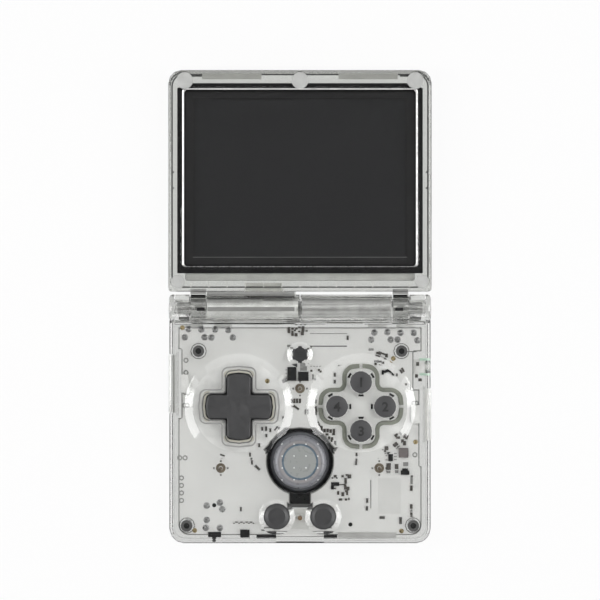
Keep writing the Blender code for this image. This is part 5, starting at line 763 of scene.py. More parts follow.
def mix_to_surface(tree, output, factor, first, second):
    """Lead the mix of two shaders to the output."""
    mix = add_node(tree, "MixShader", {"Fac": factor, 1: first, 2: second})
    tree.links.new(mix.outputs["Shader"], tree.nodes[output].inputs["Surface"])


def add_ramp(tree, factor, stops):
    """Colour ramp through places from 0 to 1 with their colours."""
    node = add_node(tree, "ValToRGB", {"Fac": factor})
    ramp = node.color_ramp
    ramp.elements[1].position = 1.0
    ramp.elements[1].color = (*stops[-1][1], 1.0)
    ramp.elements[0].color = (*stops[0][1], 1.0)
    for place, color in stops[1:]:
        if place < 1.0:
            ramp.elements.new(place).color = (*color, 1.0)
    return node.outputs["Color"]


def banded(name, center, bands, roughness):
    """Rubber whose colour changes with the distance from an upright axis."""
    made, tree, shader = start_material(name, bands[0][1], roughness)
    place = add_node(tree, "TexCoord").outputs["Object"]
    flat = add_node(tree, "VectorMath", {0: place, 1: (1.0, 1.0, 0.0)}, operation="MULTIPLY")
    ends = {0: flat.outputs["Vector"], 1: (*center, 0.0)}
    apart = add_node(tree, "VectorMath", ends, operation="DISTANCE").outputs["Value"]
    limit = bands[-1][0]
    stops = [(reach / limit, color) for reach, color in bands]
    tint = add_ramp(tree, calculate(tree, "DIVIDE", apart, limit), stops)
    low, high = (roughness * share for share in RUBBER_GLOSS_SHARES)
    uneven = noise(tree, *RUBBER_UNEVEN)
    dress_shader(tree, shader, tint, uneven, low, high, noise(tree, *RUBBER_GRAIN), RUBBER_GRAIN_DEPTH)
    return made


def two_sided(name, top_color, side_color):
    """Panel that is dark on its upper face and bright metal on its sides and back."""
    made, tree, shader = start_material(name, top_color, PANEL_GLOSS[0])
    facing = add_node(tree, "TexCoord").outputs["Normal"]
    upward = add_node(tree, "SeparateXYZ", {"Vector": facing}).outputs["Z"]
    tint = blend_colors(tree, calculate(tree, "GREATER_THAN", upward, PANEL_TOP_SHARE), side_color, top_color)
    lines = noise(tree, *PANEL_NOISE)
    dress_shader(tree, shader, tint, lines, *PANEL_GLOSS, lines, PANEL_GRAIN_DEPTH)
    return made


def white_board():
    """Solder mask with faint traces and a slightly uneven gloss."""
    made, tree, shader = start_material("board_mask", BOARD_WHITE, BOARD_GLOSS[0])
    tint = mottle(tree, noise(tree, *BOARD_PATCHES), BOARD_WHITE_DARK, BOARD_WHITE)
    weave = noise(tree, *BOARD_WEAVE)
    dress_shader(tree, shader, tint, weave, *BOARD_GLOSS, weave, BOARD_GRAIN_DEPTH)
    return made


def make_finishes():
    """Fill the table of finishes by the name that pieces use for each."""
    for name, row in CLEAR.items():
        finishes[name] = see_through(name, *row)
    finishes["board"] = white_board()
    finishes["panel"] = two_sided("panel", PANEL_BLACK, STEEL)
    for name, (color, roughness) in MOULDED.items():
        finishes[name] = moulded(name, color, roughness, **{**MOULD_USUAL, **MOULDED_WAYS.get(name, {})})
    for name, row in BRUSHED.items():
        finishes[name] = brushed(name, *row)
    for name, (node, bands, roughness) in BANDED.items():
        finishes[name] = banded(name, middle_of(node), bands, roughness)

# Finish of each CAD node
NODE_FINISHES = {
    "clear": ("base_front_shell", "base_rear_shell", "hinge_cap_left", "hinge_cap_right"),
    "clear_lid": ("lid_front_frame", "lid_back_cover"),
    "lens": ("display_glass",),
    "board": ("main_board",),
    "key": ("dpad", "button_select", "button_start"),
    "button": ("face_button_top", "face_button_right", "face_button_bottom", "face_button_left"),
    "menu": ("menu_button",),
    "side_clear": ("volume_rocker", "power_button"),
    "side_key": (
        "shoulder_left_outer", "shoulder_left_inner", "shoulder_right_inner", "shoulder_right_outer",
    ),
    "mat_white": ("face_button_membrane",),
    "milk": ("start_select_membrane",),
    "black": ("dpad_pivot", "menu_switch", "stick_module_housing", "stick_pivot_block", "speaker"),
    "port_white": (
        "headphone_jack", "volume_switch", "power_switch", "switch_left_outer", "switch_left_inner",
        "switch_right_inner", "switch_right_outer",
    ),
    "gasket": ("display_gasket",),
    "panel": ("lcd_panel",),
    "pad": (
        "lid_pad_top_left", "lid_pad_top_middle", "lid_pad_top_right", "lid_pad_low_left",
        "lid_pad_low_right",
    ),
    "steel": (
        "stick_stem", "stick_yoke", "hinge_unit_left", "hinge_unit_right", "usb_c_port", "card_slot",
        "processor_shield",
    ),
    "foil": ("battery",),
    "film": ("display_flex_lid", "display_flex_base"),
    "brown_light": ("status_led_lens",),
    "stick_rubber": ("stick_cap",),
    "pad_mat": ("dpad_membrane",),
}

# Finishes by name, filled before the pieces are made
finishes = {}


# Shading of the CAD nodes


def smoothing_group(limit):
    """Geometry nodes that weld the facets and keep only edges over an angle sharp."""
    group = bpy.data.node_groups.new("smooth_by_angle", "GeometryNodeTree")
    for way in ("INPUT", "OUTPUT"):
        group.interface.new_socket("Geometry", in_out=way, socket_type="NodeSocketGeometry")
    start = group.nodes.new("NodeGroupInput")
    end = group.nodes.new("NodeGroupOutput")
    weld = group.nodes.new("GeometryNodeMergeByDistance")
    weld.inputs["Distance"].default_value = WELD_DISTANCE
    angle = group.nodes.new("GeometryNodeInputMeshEdgeAngle")
    over = group.nodes.new("FunctionNodeCompare")
    over.data_type = "FLOAT"
    over.operation = "GREATER_THAN"
    over.inputs[1].default_value = math.radians(limit)
    normals = group.nodes.new("GeometryNodeSetMeshNormal")
    normals.mode = "SHARPNESS"
    normals.inputs["Remove Custom"].default_value = True
    normals.inputs["Face Sharpness"].default_value = False
    group.links.new(start.outputs[0], weld.inputs["Geometry"])
    group.links.new(weld.outputs["Geometry"], normals.inputs["Mesh"])
    group.links.new(angle.outputs["Unsigned Angle"], over.inputs[0])
    group.links.new(over.outputs["Result"], normals.inputs["Edge Sharpness"])
    group.links.new(normals.outputs["Mesh"], end.inputs[0])
    return group


def dress_nodes(nodes):
    """Give the CAD nodes their finishes and smooth shading, finer on the face with its dishes."""
    plain = smoothing_group(SMOOTH_ANGLE)
    face = smoothing_group(FACE_SMOOTH_ANGLE)
    for finish, names in NODE_FINISHES.items():
        for name in names:
            obj = nodes[name]
            obj.data.materials.clear()
            obj.data.materials.append(finishes[finish])
            smooth = obj.modifiers.new("smooth", "NODES")
            smooth.node_group = face if name == "base_front_shell" else plain
            weighted = obj.modifiers.new("weighted", "WEIGHTED_NORMAL")
            weighted.keep_sharp = True


# Mesh helpers


def add_piece(name, bm, finish, body, smooth=False):
    """Turn a bmesh into a piece that rides on a body."""
    bmesh.ops.recalc_face_normals(bm, faces=bm.faces)
    mesh = bpy.data.meshes.new(name)
    bm.to_mesh(mesh)
    bm.free()
    if smooth:
        mesh.shade_smooth()
        mesh.set_sharp_from_angle(angle=math.radians(SMOOTH_ANGLE))
    mesh.materials.append(finishes[finish])
    obj = bpy.data.objects.new(name, mesh)
    bpy.context.scene.collection.objects.link(obj)
    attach(obj, body)


def join_rows(bm, lower, upper):
    """Faces between two loops of points, where a loop of one point makes a tip."""
    count = max(len(lower), len(upper))
    for k in range(count):
        after = (k + 1) % count
        places = ((lower, k), (lower, after), (upper, after), (upper, k))
        corners = [row[place % len(row)] for row, place in places]
        bm.faces.new(tuple(dict.fromkeys(corners)))


def add_rows(bm, rings):
    """Open surface through rings of points."""
    rows = [[bm.verts.new(point) for point in ring] for ring in rings]
    for lower, upper in zip(rows, rows[1:]):
        join_rows(bm, lower, upper)
    return rows


def add_stack(bm, rings):
    """Closed solid through rings of equal counts, flat at both ends."""
    rows = add_rows(bm, rings)
    bm.faces.new(reversed(rows[0]))
    bm.faces.new(rows[-1])


def add_loop(bm, rings):
    """Closed tube through rings of equal counts, the last joined to the first."""
    rows = add_rows(bm, rings)
    join_rows(bm, rows[-1], rows[0])


def span(middle, size):
    """Low and high end of a size about its middle."""
    return middle - size / 2, middle + size / 2


def shrunk(edges, gap):
    """Edges of a rectangle, x from and to and y from and to, moved inward by a gap."""
    x0, x1, y0, y1 = edges
    return x0 + gap, x1 - gap, y0 + gap, y1 - gap


def add_block(bm, x0, x1, y0, y1, z0, z1, inset=0.0, turn=0.0):
    """Block with chamfered upper edges, turned about its own upright middle line."""
    middle_x = (x0 + x1) / 2
    middle_y = (y0 + y1) / 2

    def ring(gap, height):
        left, right, near, far = shrunk((x0, x1, y0, y1), gap)
        points = []
        for x, y in ((left, near), (right, near), (right, far), (left, far)):
            dx = x - middle_x
            dy = y - middle_y
            along = middle_x + dx * math.cos(turn) - dy * math.sin(turn)
            points.append((along, middle_y + dx * math.sin(turn) + dy * math.cos(turn), height))
        return points

    heights = ((0.0, z0), (0.0, z1 - inset), (inset, z1)) if inset else ((0.0, z0), (0.0, z1))
    add_stack(bm, [ring(gap, height) for gap, height in heights])


def add_blocks(name, blocks, finish, body):
    """Piece made of blocks; each holds x from and to, y, z, and may hold an inset and a turn."""
    bm = bmesh.new()
    for block in blocks:
        add_block(bm, *block)
    add_piece(name, bm, finish, body)


def circle(x, y, radius, height, steps):
    """Points round an upright axis, or one point on it."""
    if not radius:
        return [(x, y, height)]
    angles = [2 * math.pi * k / steps for k in range(steps)]
    return [(x + radius * math.cos(angle), y + radius * math.sin(angle), height) for angle in angles]


def add_turned(bm, x, y, profile, steps=FLAT_STEPS):
    """Solid turned about an upright axis; profile rows are radius and height."""
    add_rows(bm, [circle(x, y, radius, height, steps) for radius, height in profile])


def disc_profile(radius, low, thickness):
    """Profile of a flat round plate."""
    return [(0.0, low), (radius, low), (radius, low + thickness), (0.0, low + thickness)]


def add_ring(bm, x, y, profile, steps=FLAT_STEPS):
    """Ring turned about an upright axis from a closed profile of radii and heights."""
    add_loop(bm, [circle(x, y, radius, height, steps) for radius, height in profile])


def add_washer(bm, x, y, inner, outer, z0, z1, steps=FLAT_STEPS):
    """Flat washer."""
    add_ring(bm, x, y, ((inner, z0), (outer, z0), (outer, z1), (inner, z1)), steps)


def rounded_rectangle(edges, corner):
    """Outline of a rectangle with round corners."""
    x0, x1, y0, y1 = shrunk(edges, corner)
    points = []
    for turn, (x, y) in enumerate(((x1, y1), (x0, y1), (x0, y0), (x1, y0))):
        for k in range(CORNER_STEPS + 1):
            angle = math.pi / 2 * (turn + k / CORNER_STEPS)
            points.append((x + corner * math.cos(angle), y + corner * math.sin(angle)))
    return points


def add_frame(bm, outer, inner, low, top):
    """Flat frame between two outlines of equal counts."""
    sections = ((outer, low), (outer, top), (inner, top), (inner, low))
    add_loop(bm, [[(x, y, height) for x, y in outline] for outline, height in sections])


def surface_of(obj):
    """Ray target over a piece's own mesh."""
    mesh = obj.data
    vertices = [vertex.co.copy() for vertex in mesh.vertices]
    return BVHTree.FromPolygons(vertices, [polygon.vertices[:] for polygon in mesh.polygons])


def height_on(tree, x, y):
    """Height of the first surface met when looking straight down."""
    return tree.ray_cast(Vector((x, y, LOOK_HEIGHT)), Vector((0.0, 0.0, -1.0)))[0].z


def edges_of(name):
    """Edges of a node's box seen from above: x from and to, y from and to."""
    low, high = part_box(name)
    return low.x, high.x, low.y, high.y


def middle_of(name):
    """Middle of a node's box, seen from above."""
    x0, x1, y0, y1 = edges_of(name)
    return Vector(((x0 + x1) / 2, (y0 + y1) / 2))


# Parts on the circuit board


def read_row(row):
    """Place and lengths of a board part in metres and its turn; a row without a turn lies square."""
    x, y, first, second, turn = (*row, 0)[:5]
    return x * TENTH, y * TENTH, first * TENTH, second * TENTH, math.radians(turn)


def make_board_parts(board_top):
    """Chips, small parts, joints, pads, holes and printed marks on the board's top."""
    for name, rows in BOARD_BLOCKS.items():
        finish, height, inset, slot = BLOCK_LOOKS[name]
        blocks = []
        for x, y, length, width, turn in map(read_row, rows):
            blocks.append((*span(x, length), *span(y, width), board_top, board_top + height, inset, turn))
        add_blocks(f"board_{name}", blocks, finish, "base")

    bodies = bmesh.new()
    ends = bmesh.new()
    for row in TWO_ENDED_PARTS:
        add_passive(bodies, ends, *read_row(row), board_top)
    add_piece("board_small_parts", bodies, "part", "base")
    add_piece("board_part_ends", ends, "part_end", "base")

    joint_base = board_top + RING_HEIGHT
    joint = [(0.0, board_top), (PIN_PAD_RADIUS, board_top), (PIN_PAD_RADIUS, joint_base)]
    joint += [(radius, joint_base + rise) for radius, rise in PIN_PROFILE]
    looks = {
        "pins": ("tin", joint, "steel"),
        "gold": ("gold", disc_profile(GOLD_RADIUS, board_top, RING_HEIGHT), "steel"),
        "bare": ("chip_black_and_painted_shade", disc_profile(HOLE_RADIUS, board_top, PRINT_HEIGHT), "black_plastic"),
        "holes": ("plating", None, "steel"),
    }
    for name, (finish, profile, slot) in looks.items():
        bm = bmesh.new()
        for place in BOARD_DISCS[name]:
            x, y = (value * TENTH for value in place)
            if profile:
                add_turned(bm, x, y, profile)
            else:
                add_washer(bm, x, y, RING_INNER, RING_OUTER, board_top, joint_base)
        add_piece(f"board_{name}", bm, finish, "base", True)


def make_board_edge(board, board_top):
    """Bare strip along the board's outer edge and its cuts."""
    source = bmesh.new()
    source.from_mesh(board.data)
    bmesh.ops.remove_doubles(source, verts=source.verts, dist=WELD_DISTANCE)
    tops = {face for face in source.faces if face.normal.z > UPRIGHT_SHARE}
    bm = bmesh.new()
    for edge in source.edges:
        sides = [face for face in edge.link_faces if face in tops]
        if len(sides) != 1:
            continue
        start, end = (vertex.co for vertex in edge.verts)
        if min(start.z, end.z) < board_top - PRINT_HEIGHT:
            continue
        along = (end - start).normalized()
        inward = Vector((-along.y, along.x, 0.0)) * EDGE_STRIP_WIDTH
        if inward.dot(sides[0].calc_center_median() - start) < 0.0:
            inward.negate()
        ring = [start, end, end + inward, start + inward]
        add_stack(bm, [[(p.x, p.y, board_top + rise) for p in ring] for rise in (0.0, PRINT_HEIGHT)])
    source.free()
    add_piece("board_edge_strip", bm, "edge_grey_and_painted_shade", "base")


def add_passive(bodies, ends, x, y, width, length, turn, bottom):
    """Small two-ended part: ceramic body with a tinned cap over each end."""
    half = length / 2
    cap = length * PASSIVE_END_SHARE
    top = bottom + PASSIVE_HEIGHT
    stretches = [(bodies, cap - half, half - cap, PASSIVE_INSET)]
    stretches += [(ends, -half, cap - half, 0.0), (ends, half - cap, half, 0.0)]
    for target, low, high, slim in stretches:
        middle = (low + high) / 2
        xs = span(x - math.sin(turn) * middle, width - 2 * slim)
        ys = span(y + math.cos(turn) * middle, high - low)
        add_block(target, *xs, *ys, bottom, top - slim, PASSIVE_INSET, turn)


def cross_outline(tip, half, corner, inside, bulge, gap):
    """Plus-shaped outline with bulging tips, a marked gap at each tip and round corners."""
    arm = [(tip, gap / 2)]
    for k in range(CORNER_STEPS + 1):
        angle = math.pi / 2 * k / CORNER_STEPS
        y = half - corner + corner * math.sin(angle)
        arm.append((tip - corner + corner * math.cos(angle) - bulge * (y / half) ** 2, y))
    quarter = list(arm)
    for k in range(CORNER_STEPS + 1):
        angle = math.pi / 2 * k / CORNER_STEPS
        quarter.append((half + inside * (1 - math.sin(angle)), half + inside * (1 - math.cos(angle))))
    quarter += [(y, x) for x, y in reversed(arm)]
    points = []
    for turn in range(4):
        for x, y in quarter:
            for _ in range(turn):
                x, y = -y, x
            points.append((x, y))
    return points


def make_button_band(board_top):
    """Grey-green rubber band round the face buttons, open at its four tips."""
    bm = bmesh.new()
    center = middle_of("face_button_membrane")
    outlines = []
    for gap in (0.0, BAND_WIDTH):
        sizes = (BAND_TIP - gap, BAND_HALF_WIDTH - gap, BAND_CORNER - gap, BAND_INSIDE_CORNER + gap)
        outlines.append(cross_outline(*sizes, BAND_BULGE, BAND_TIP_GAP))
    outer, inner = outlines
    for k in range(len(outer)):
        after = (k + 1) % len(outer)
        points = [outer[k], outer[after], inner[after], inner[k]]
        middle = sum((Vector(point) for point in points), Vector((0.0, 0.0))) / len(points)
        if min(abs(middle.x), abs(middle.y)) < BAND_TIP_GAP * BAND_OPEN_SHARE:
            continue
        heights = (board_top + BAND_GAP, board_top + BAND_HEIGHT)
        add_stack(bm, [[(center.x + x, center.y + y, height) for x, y in points] for height in heights])
    bmesh.ops.remove_doubles(bm, verts=bm.verts, dist=WELD_DISTANCE)
    add_piece("button_band", bm, "band", "base")


# Screws


def add_screw(bm, x, y, head_radius, head_low, head_high, shank_radius, top):
    """Upright screw with its head down: round socket, head, grooved shank and blunt tip."""
    socket_top = head_low + SOCKET_DEPTH
    profile = [(0.0, socket_top), (SOCKET_RADIUS, socket_top), (SOCKET_RADIUS, head_low)]
    profile += [(head_radius * HEAD_EDGE_SHARE, head_low), (head_radius, head_low + THREAD_DEPTH)]
    profile += [(head_radius, head_high), (shank_radius, head_high)]
    height = head_high + THREAD_PITCH
    while height < top - THREAD_PITCH:
        profile += [(shank_radius - THREAD_DEPTH, height), (shank_radius, height + THREAD_PITCH / 2)]
        height += THREAD_PITCH
    profile += [(shank_radius, top - THREAD_DEPTH), (shank_radius * TIP_SHARE, top), (0.0, top)]
    add_turned(bm, x, y, profile, SCREW_STEPS)


def case_places():
    """Middles of the four case screws."""
    return [(side * x, y) for x, y in (REAR_POST_PLACE, FRONT_POST_PLACE) for side in (-1, 1)]


def make_screws(board_top, board_bottom):
    """Four case screws in the posts with a ring of painted shade round each, and three board screws in the
    bosses.
    """
    screws = bmesh.new()
    tips = bmesh.new()
    post_shades = bmesh.new()
    low = CASE_SCREW_TOP - LEG_HEIGHT
    head = (CASE_HEAD_RADIUS, CASE_HEAD_LOW, CASE_HEAD_HIGH)
    for x, y in case_places():
        add_screw(screws, x, y, *head, CASE_SCREW_RADIUS, CASE_SCREW_TOP)
        # Painted shade ring round the screw
        add_washer(post_shades, x, y, CASE_TIP_RADIUS + LEG_HEIGHT, CASE_POST_SHADE_RADIUS, low, CASE_SCREW_TOP)
        add_turned(tips, x, y, disc_profile(CASE_TIP_RADIUS, CASE_SCREW_TOP, LEG_HEIGHT))
    add_piece("case_screws", screws, "screw_grey_and_painted_shade", "base", True)
    add_piece("case_screw_tips", tips, "chip_black_and_painted_shade", "base")
    add_piece("case_post_painted_shades", post_shades, "collar", "base")

    screws = bmesh.new()
    pads = bmesh.new()
    ticks = []
    head = (BOSS_HEAD_RADIUS, board_bottom - BOSS_HEAD_HEIGHT, board_bottom)
    for x, y in BOSS_PLACES:
        add_screw(screws, x, y, *head, BOSS_SCREW_RADIUS, BOSS_SCREW_TOP)
        add_washer(pads, x, y, BOSS_PAD_HOLE, BOSS_PAD_RADIUS, board_top, board_top + RING_HEIGHT)
        for k in range(TICK_COUNT):
            angle = 2 * math.pi * k / TICK_COUNT
            xs = span(x + TICK_REACH * math.cos(angle), TICK_SIZE)
            ys = span(y + TICK_REACH * math.sin(angle), TICK_SIZE)
            ticks.append((*xs, *ys, board_top, board_top + PRINT_HEIGHT))
    add_piece("board_screws", screws, "copper", "base", True)
    add_piece("board_screw_pads", pads, "copper", "base")
    add_blocks("board_screw_ticks", ticks, "print", "base")


# Display


def make_display():
    """Printed border, switched-off panel face with a painted highlight on its near edge and painted shade on
    its other edges, bright trim and ledge.
    """
    glass = edges_of("display_glass")
    glass_low, glass_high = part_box("display_glass")
    active = (-ACTIVE_HALF_WIDTH, ACTIVE_HALF_WIDTH, ACTIVE_NEAR_Y, ACTIVE_FAR_Y)
    top = glass_low.z - PRINT_TOP_GAP
    bm = bmesh.new()
    outer = rounded_rectangle(shrunk(glass, PRINT_MARGIN), LENS_CORNER)
    add_frame(bm, outer, rounded_rectangle(active, PRINT_MARGIN), top - PRINT_THICKNESS, top)
    add_piece("lens_print", bm, "border", "lid")

    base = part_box("lcd_panel")[1].z + SHEET_GAP
    x0, x1, y0, y1 = shrunk(active, -PANEL_FACE_MARGIN)
    face = base + PANEL_FACE_THICKNESS
    block = (x0, x1, y0, y1, base, face, PANEL_FACE_THICKNESS * BEVEL_SHARE)
    add_blocks("panel_face", [block], "panel_face", "lid")
    # Painted highlight on the near edge of the active area, painted shade along its other edges
    heights = (face, face + PANEL_FACE_THICKNESS)
    near = ACTIVE_NEAR_Y + PANEL_LINE_WIDTH
    line = (-ACTIVE_HALF_WIDTH, ACTIVE_HALF_WIDTH, near, near + PANEL_LINE_WIDTH, *heights)
    add_blocks("panel_edge_painted_highlight", [line], "panel_painted_highlight", "lid")
    left, right, _, far = shrunk(active, PANEL_SHADE_WIDTH)
    shades = [(*ends, near + PANEL_LINE_WIDTH, far, *heights) for ends in ((x0, left), (right, x1))]
    add_blocks("panel_edge_shade", [*shades, (x0, x1, far, y1, *heights)], "ink_and_painted_shade", "lid")

    make_trim(glass, glass_high.z)

    x0, x1, y0, _ = shrunk(edges_of("lcd_panel"), PRINT_MARGIN)
    y1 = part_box("display_gasket")[0].y + LEDGE_THICKNESS
    ledge = (x0, x1, y0, y1, base, base + LEDGE_THICKNESS, LEDGE_THICKNESS * BEVEL_SHARE)
    add_blocks("panel_ledge", [ledge], "ledge", "lid")


def make_trim(glass, glass_top):
    """Bright sloped trim between glass and frame, its own on each side, and the glass's printed edge."""
    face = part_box("lid_pad_top_middle")[1].z - PAD_PROUD - TRIM_TOP_GAP
    right, left, far, near = (TRIM_SIDES[side] for side in ("right", "left", "far", "near"))
    x0, x1, y0, y1 = glass

    def ring(share, drop_share, sink):
        x_from, x_to, y_from, y_to = (gap + width * share for gap, width, drop in (left, right, near, far))
        outline = rounded_rectangle((x0 - x_from, x1 + x_to, y0 - y_from, y1 + y_to), LENS_CORNER)
        points = []
        for k, (x, y) in enumerate(outline):
            corner, step = divmod(k, CORNER_STEPS + 1)
            angle = math.pi / 2 * (corner + step / CORNER_STEPS)
            turn_x = math.cos(angle)
            turn_y = math.sin(angle)
            drop = (right if turn_x > 0.0 else left)[2] * turn_x ** 2
            drop += (far if turn_y > 0.0 else near)[2] * turn_y ** 2
            points.append((x, y, face - drop * drop_share - sink))
        return points

    bend = (TRIM_BEND_SHARE, TRIM_BEND_DROP_SHARE, 0.0)
    rows = ((0.0, 1.0, 0.0), bend, (1.0, 0.0, 0.0), (1.0, 0.0, TRIM_THICKNESS), (0.0, 1.0, TRIM_THICKNESS))
    bm = bmesh.new()
    add_loop(bm, [ring(*row) for row in rows])
    add_piece("lens_trim", bm, "trim", "lid", True)
    bm = bmesh.new()
    inner = rounded_rectangle(shrunk(glass, LENS_EDGE_WIDTH), LENS_CORNER)
    low = glass_top + LENS_EDGE_THICKNESS
    add_frame(bm, rounded_rectangle(glass, LENS_CORNER), inner, low, low + LENS_EDGE_THICKNESS)
    add_piece("lens_edge_print", bm, "ink_and_painted_shade", "lid")


def mirrored(side, near, far):
    """Two distances from the middle line, on one side, in rising order."""
    return sorted((side * near, side * far))


def make_lid_details():
    """Clear ribs and painted shade under the lid's rim, a dark line along its inner wall and dark bits at its
    far corners, and grey tape in the rim's two grooves.
    """
    ribs = []
    for k in range(LID_RIB_COUNT):
        xs = span((k - (LID_RIB_COUNT - 1) / 2) * LID_RIB_SPACING, LID_RIB_WIDTH)
        ribs.append((*xs, LID_RIB_NEAR_Y, LID_RIB_FAR_Y, LID_UNDERFACE - LID_RIB_HEIGHT, LID_UNDERFACE))
    add_blocks("lid_wall_ribs", ribs, "rim", "lid")

    # Painted shade: dark line along the inner wall, its side notches and its far bars
    edges = (-LID_LINE_REACH, LID_LINE_REACH, LID_LINE_NEAR_Y, LID_LINE_FAR_Y)
    inner = rounded_rectangle(shrunk(edges, LID_LINE_WIDTH), LID_LINE_CORNER - LID_LINE_WIDTH)
    heights = (LID_UNDERFACE - LID_LINE_WIDTH, LID_UNDERFACE - PRINT_HEIGHT)
    bm = bmesh.new()
    add_frame(bm, rounded_rectangle(edges, LID_LINE_CORNER), inner, *heights)
    for y in LID_SNAP_PLACES:
        for side in (-1, 1):
            xs = mirrored(side, LID_LINE_REACH, LID_LINE_REACH - LID_SNAP_LENGTH)
            add_block(bm, *xs, *span(y, LID_SNAP_WIDTH), *heights)
    for x0, x1 in LID_BARS:
        add_block(bm, x0, x1, *span(LID_BAR_Y, LID_SNAP_WIDTH), *heights)
    add_piece("lid_wall_painted_shade", bm, "dark_line", "lid")

    # Painted shade: dark bits round the far corners
    shades = []
    tapes = []
    for side in (-1, 1):
        for k in range(LID_CORNER_BITS):
            angle = math.radians(LID_CORNER_START + k * LID_CORNER_STEP)
            x = side * (LID_CORNER_X + LID_CORNER_RADIUS * math.cos(angle))
            y = LID_CORNER_Y + LID_CORNER_RADIUS * math.sin(angle)
            width = LID_CORNER_WIDTHS[k % len(LID_CORNER_WIDTHS)]
            length = LID_CORNER_LENGTHS[k % len(LID_CORNER_LENGTHS)]
            turn = side * (LID_CORNER_FIRST_TURN + k * LID_CORNER_NEXT_TURN)
            shades.append((*span(x, width), *span(y, length), *heights, 0.0, turn))
        xs = mirrored(side, TAPE_START, TAPE_END)
        tapes.append((*xs, TAPE_NEAR_Y, TAPE_FAR_Y, TAPE_LOW, TAPE_HIGH, PRINT_THICKNESS))
    add_blocks("lid_corner_shades", shades, "dark_line", "lid")
    add_blocks("rim_tape", tapes, "tape", "lid")


# Marks on the keys


def make_numbers(nodes):
    """A plain number on each face button, laid over its rounded top."""
    for name, digit in BUTTON_NUMBERS.items():
        center = button_center(name)
        target = surface_of(nodes[name])
        curve = bpy.data.curves.new(f"{name}_number", "FONT")
        curve.body = digit
        curve.size = GLYPH_SIZE
        curve.extrude = GLYPH_HEIGHT
        curve.offset = GLYPH_WEIGHT
        source = bpy.data.objects.new(f"{name}_number_outline", curve)
        bpy.context.scene.collection.objects.link(source)
        bpy.context.view_layer.update()
        mesh = bpy.data.meshes.new_from_object(source.evaluated_get(bpy.context.evaluated_depsgraph_get()))
        bm = bmesh.new()
        bm.from_mesh(mesh)
        bpy.data.objects.remove(source)
        bmesh.ops.triangulate(bm, faces=bm.faces)
        bmesh.ops.subdivide_edges(bm, edges=bm.edges, cuts=GLYPH_CUTS, use_grid_fill=True)
        xs = [vertex.co.x for vertex in bm.verts]
        ys = [vertex.co.y for vertex in bm.verts]
        shift = Vector(((min(xs) + max(xs)) / 2, (min(ys) + max(ys)) / 2, 0.0))
        for vertex in bm.verts:
            place = vertex.co - shift
            x = center.x + place.x
            y = center.y + place.y
            vertex.co = Vector((x, y, height_on(target, x, y) + place.z - GLYPH_SINK))
        add_piece(f"{name}_number", bm, "glyph", name)


def make_lug_shades(nodes):
    """Painted shade: dark bars on the three lugs of each face button, where their slots lie in shade, the
    first towards the middle of the four.
    """
    cluster = middle_of("face_button_membrane")
    for name in BUTTON_NUMBERS:
        center = button_center(name)
        target = surface_of(nodes[name])
        inward = math.atan2(cluster.y - center.y, cluster.x - center.x)
        bars = []
        for k in range(LUG_COUNT):
            angle = inward + 2 * math.pi * k / LUG_COUNT
            direction = Vector((math.cos(angle), math.sin(angle)))
            catch = center + direction * LUG_CATCH_REACH
            top = height_on(target, catch.x, catch.y)
            middle = center + direction * LUG_BAR_REACH
            edges = (*span(middle.x, LUG_BAR_WIDTH), *span(middle.y, LUG_BAR_LENGTH))
            bars.append((*edges, top, top + LUG_BAR_HEIGHT, 0.0, angle))
        add_blocks(f"{name}_lug_painted_shades", bars, "chip_black_and_painted_shade", name)


def make_menu_mark():
    """Three bars on the menu button."""
    middle = middle_of("menu_button")
    heights = span(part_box("menu_button")[1].z, 2 * GLYPH_SINK)
    bars = []
    for k in range(MARK_BAR_COUNT):
        y = middle.y + (k - (MARK_BAR_COUNT - 1) / 2) * MARK_BAR_SPACING
        bars.append((*span(0.0, MARK_BAR_LENGTH), *span(y, MARK_BAR_WIDTH), *heights))
    add_blocks("menu_mark", bars, "glyph", "menu_button")


def button_center(name):
    """Middle of a face button, without the lug that widens its box on one side."""
    cluster = middle_of("face_button_membrane")
    apart = middle_of(name) - cluster
    if name.endswith(("top", "bottom")):
        return cluster + Vector((0.0, math.copysign(BUTTON_Y_SPACING, apart.y)))
    return cluster + Vector((math.copysign(BUTTON_X_SPACING, apart.x), 0.0))


# Round the keys


def make_stick_dots(nodes):
    """Raised grip dots in a square grid on the thumb stick's cap."""
    center = middle_of("stick_cap")
    target = surface_of(nodes["stick_cap"])
    bm = bmesh.new()
    for i in DOT_STEPS:
        for j in DOT_STEPS:
            x = center.x + i * DOT_GRID
            y = center.y + j * DOT_GRID
            base = height_on(target, x, y)
            profile = [(DOT_RADIUS * share, base + DOT_RISE * rise) for share, rise in DOT_PROFILE_SHARES]
            add_turned(bm, x, y, profile, DOT_SIDES)
    add_piece("stick_grip_dots", bm, "white_dot", "stick", True)


def make_stick_boot(nodes):
    """Dished ring under the thumb stick's edge, and a painted highlight: the paler strip over the curved end
    of its connector tail.
    """
    x0, x1, y0, y1 = TAIL_HIGHLIGHT
    low = height_on(surface_of(nodes["stick_module_housing"]), 0.0, (y0 + y1) / 2)
    strip = (x0, x1, y0, y1, low, low + PRINT_HEIGHT)
    add_blocks("tail_painted_highlight", [strip], "collar", "base")
    bm = bmesh.new()
    add_ring(bm, *middle_of("stick_cap"), BOOT_RINGS, RIM_STEPS)
    add_piece("stick_boot", bm, "stick_boot", "base", True)


def make_side_key_cores():
    """Grey strip inside each clear side key."""
    for name, core, side in (("volume_rocker", "volume_core", -1), ("power_button", "power_core", 1)):
        low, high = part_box(name)
        outer = max(abs(low.x), abs(high.x)) - CORE_INSET
        ys = (low.y + CORE_END_GAP, high.y - CORE_END_GAP)
        zs = (low.z + CORE_END_GAP / 2, high.z - CORE_END_GAP / 2)
        block = (*mirrored(side, outer, outer - CORE_WIDTH), *ys, *zs, PASSIVE_INSET)
        add_blocks(f"{name}_core", [block], core, name)


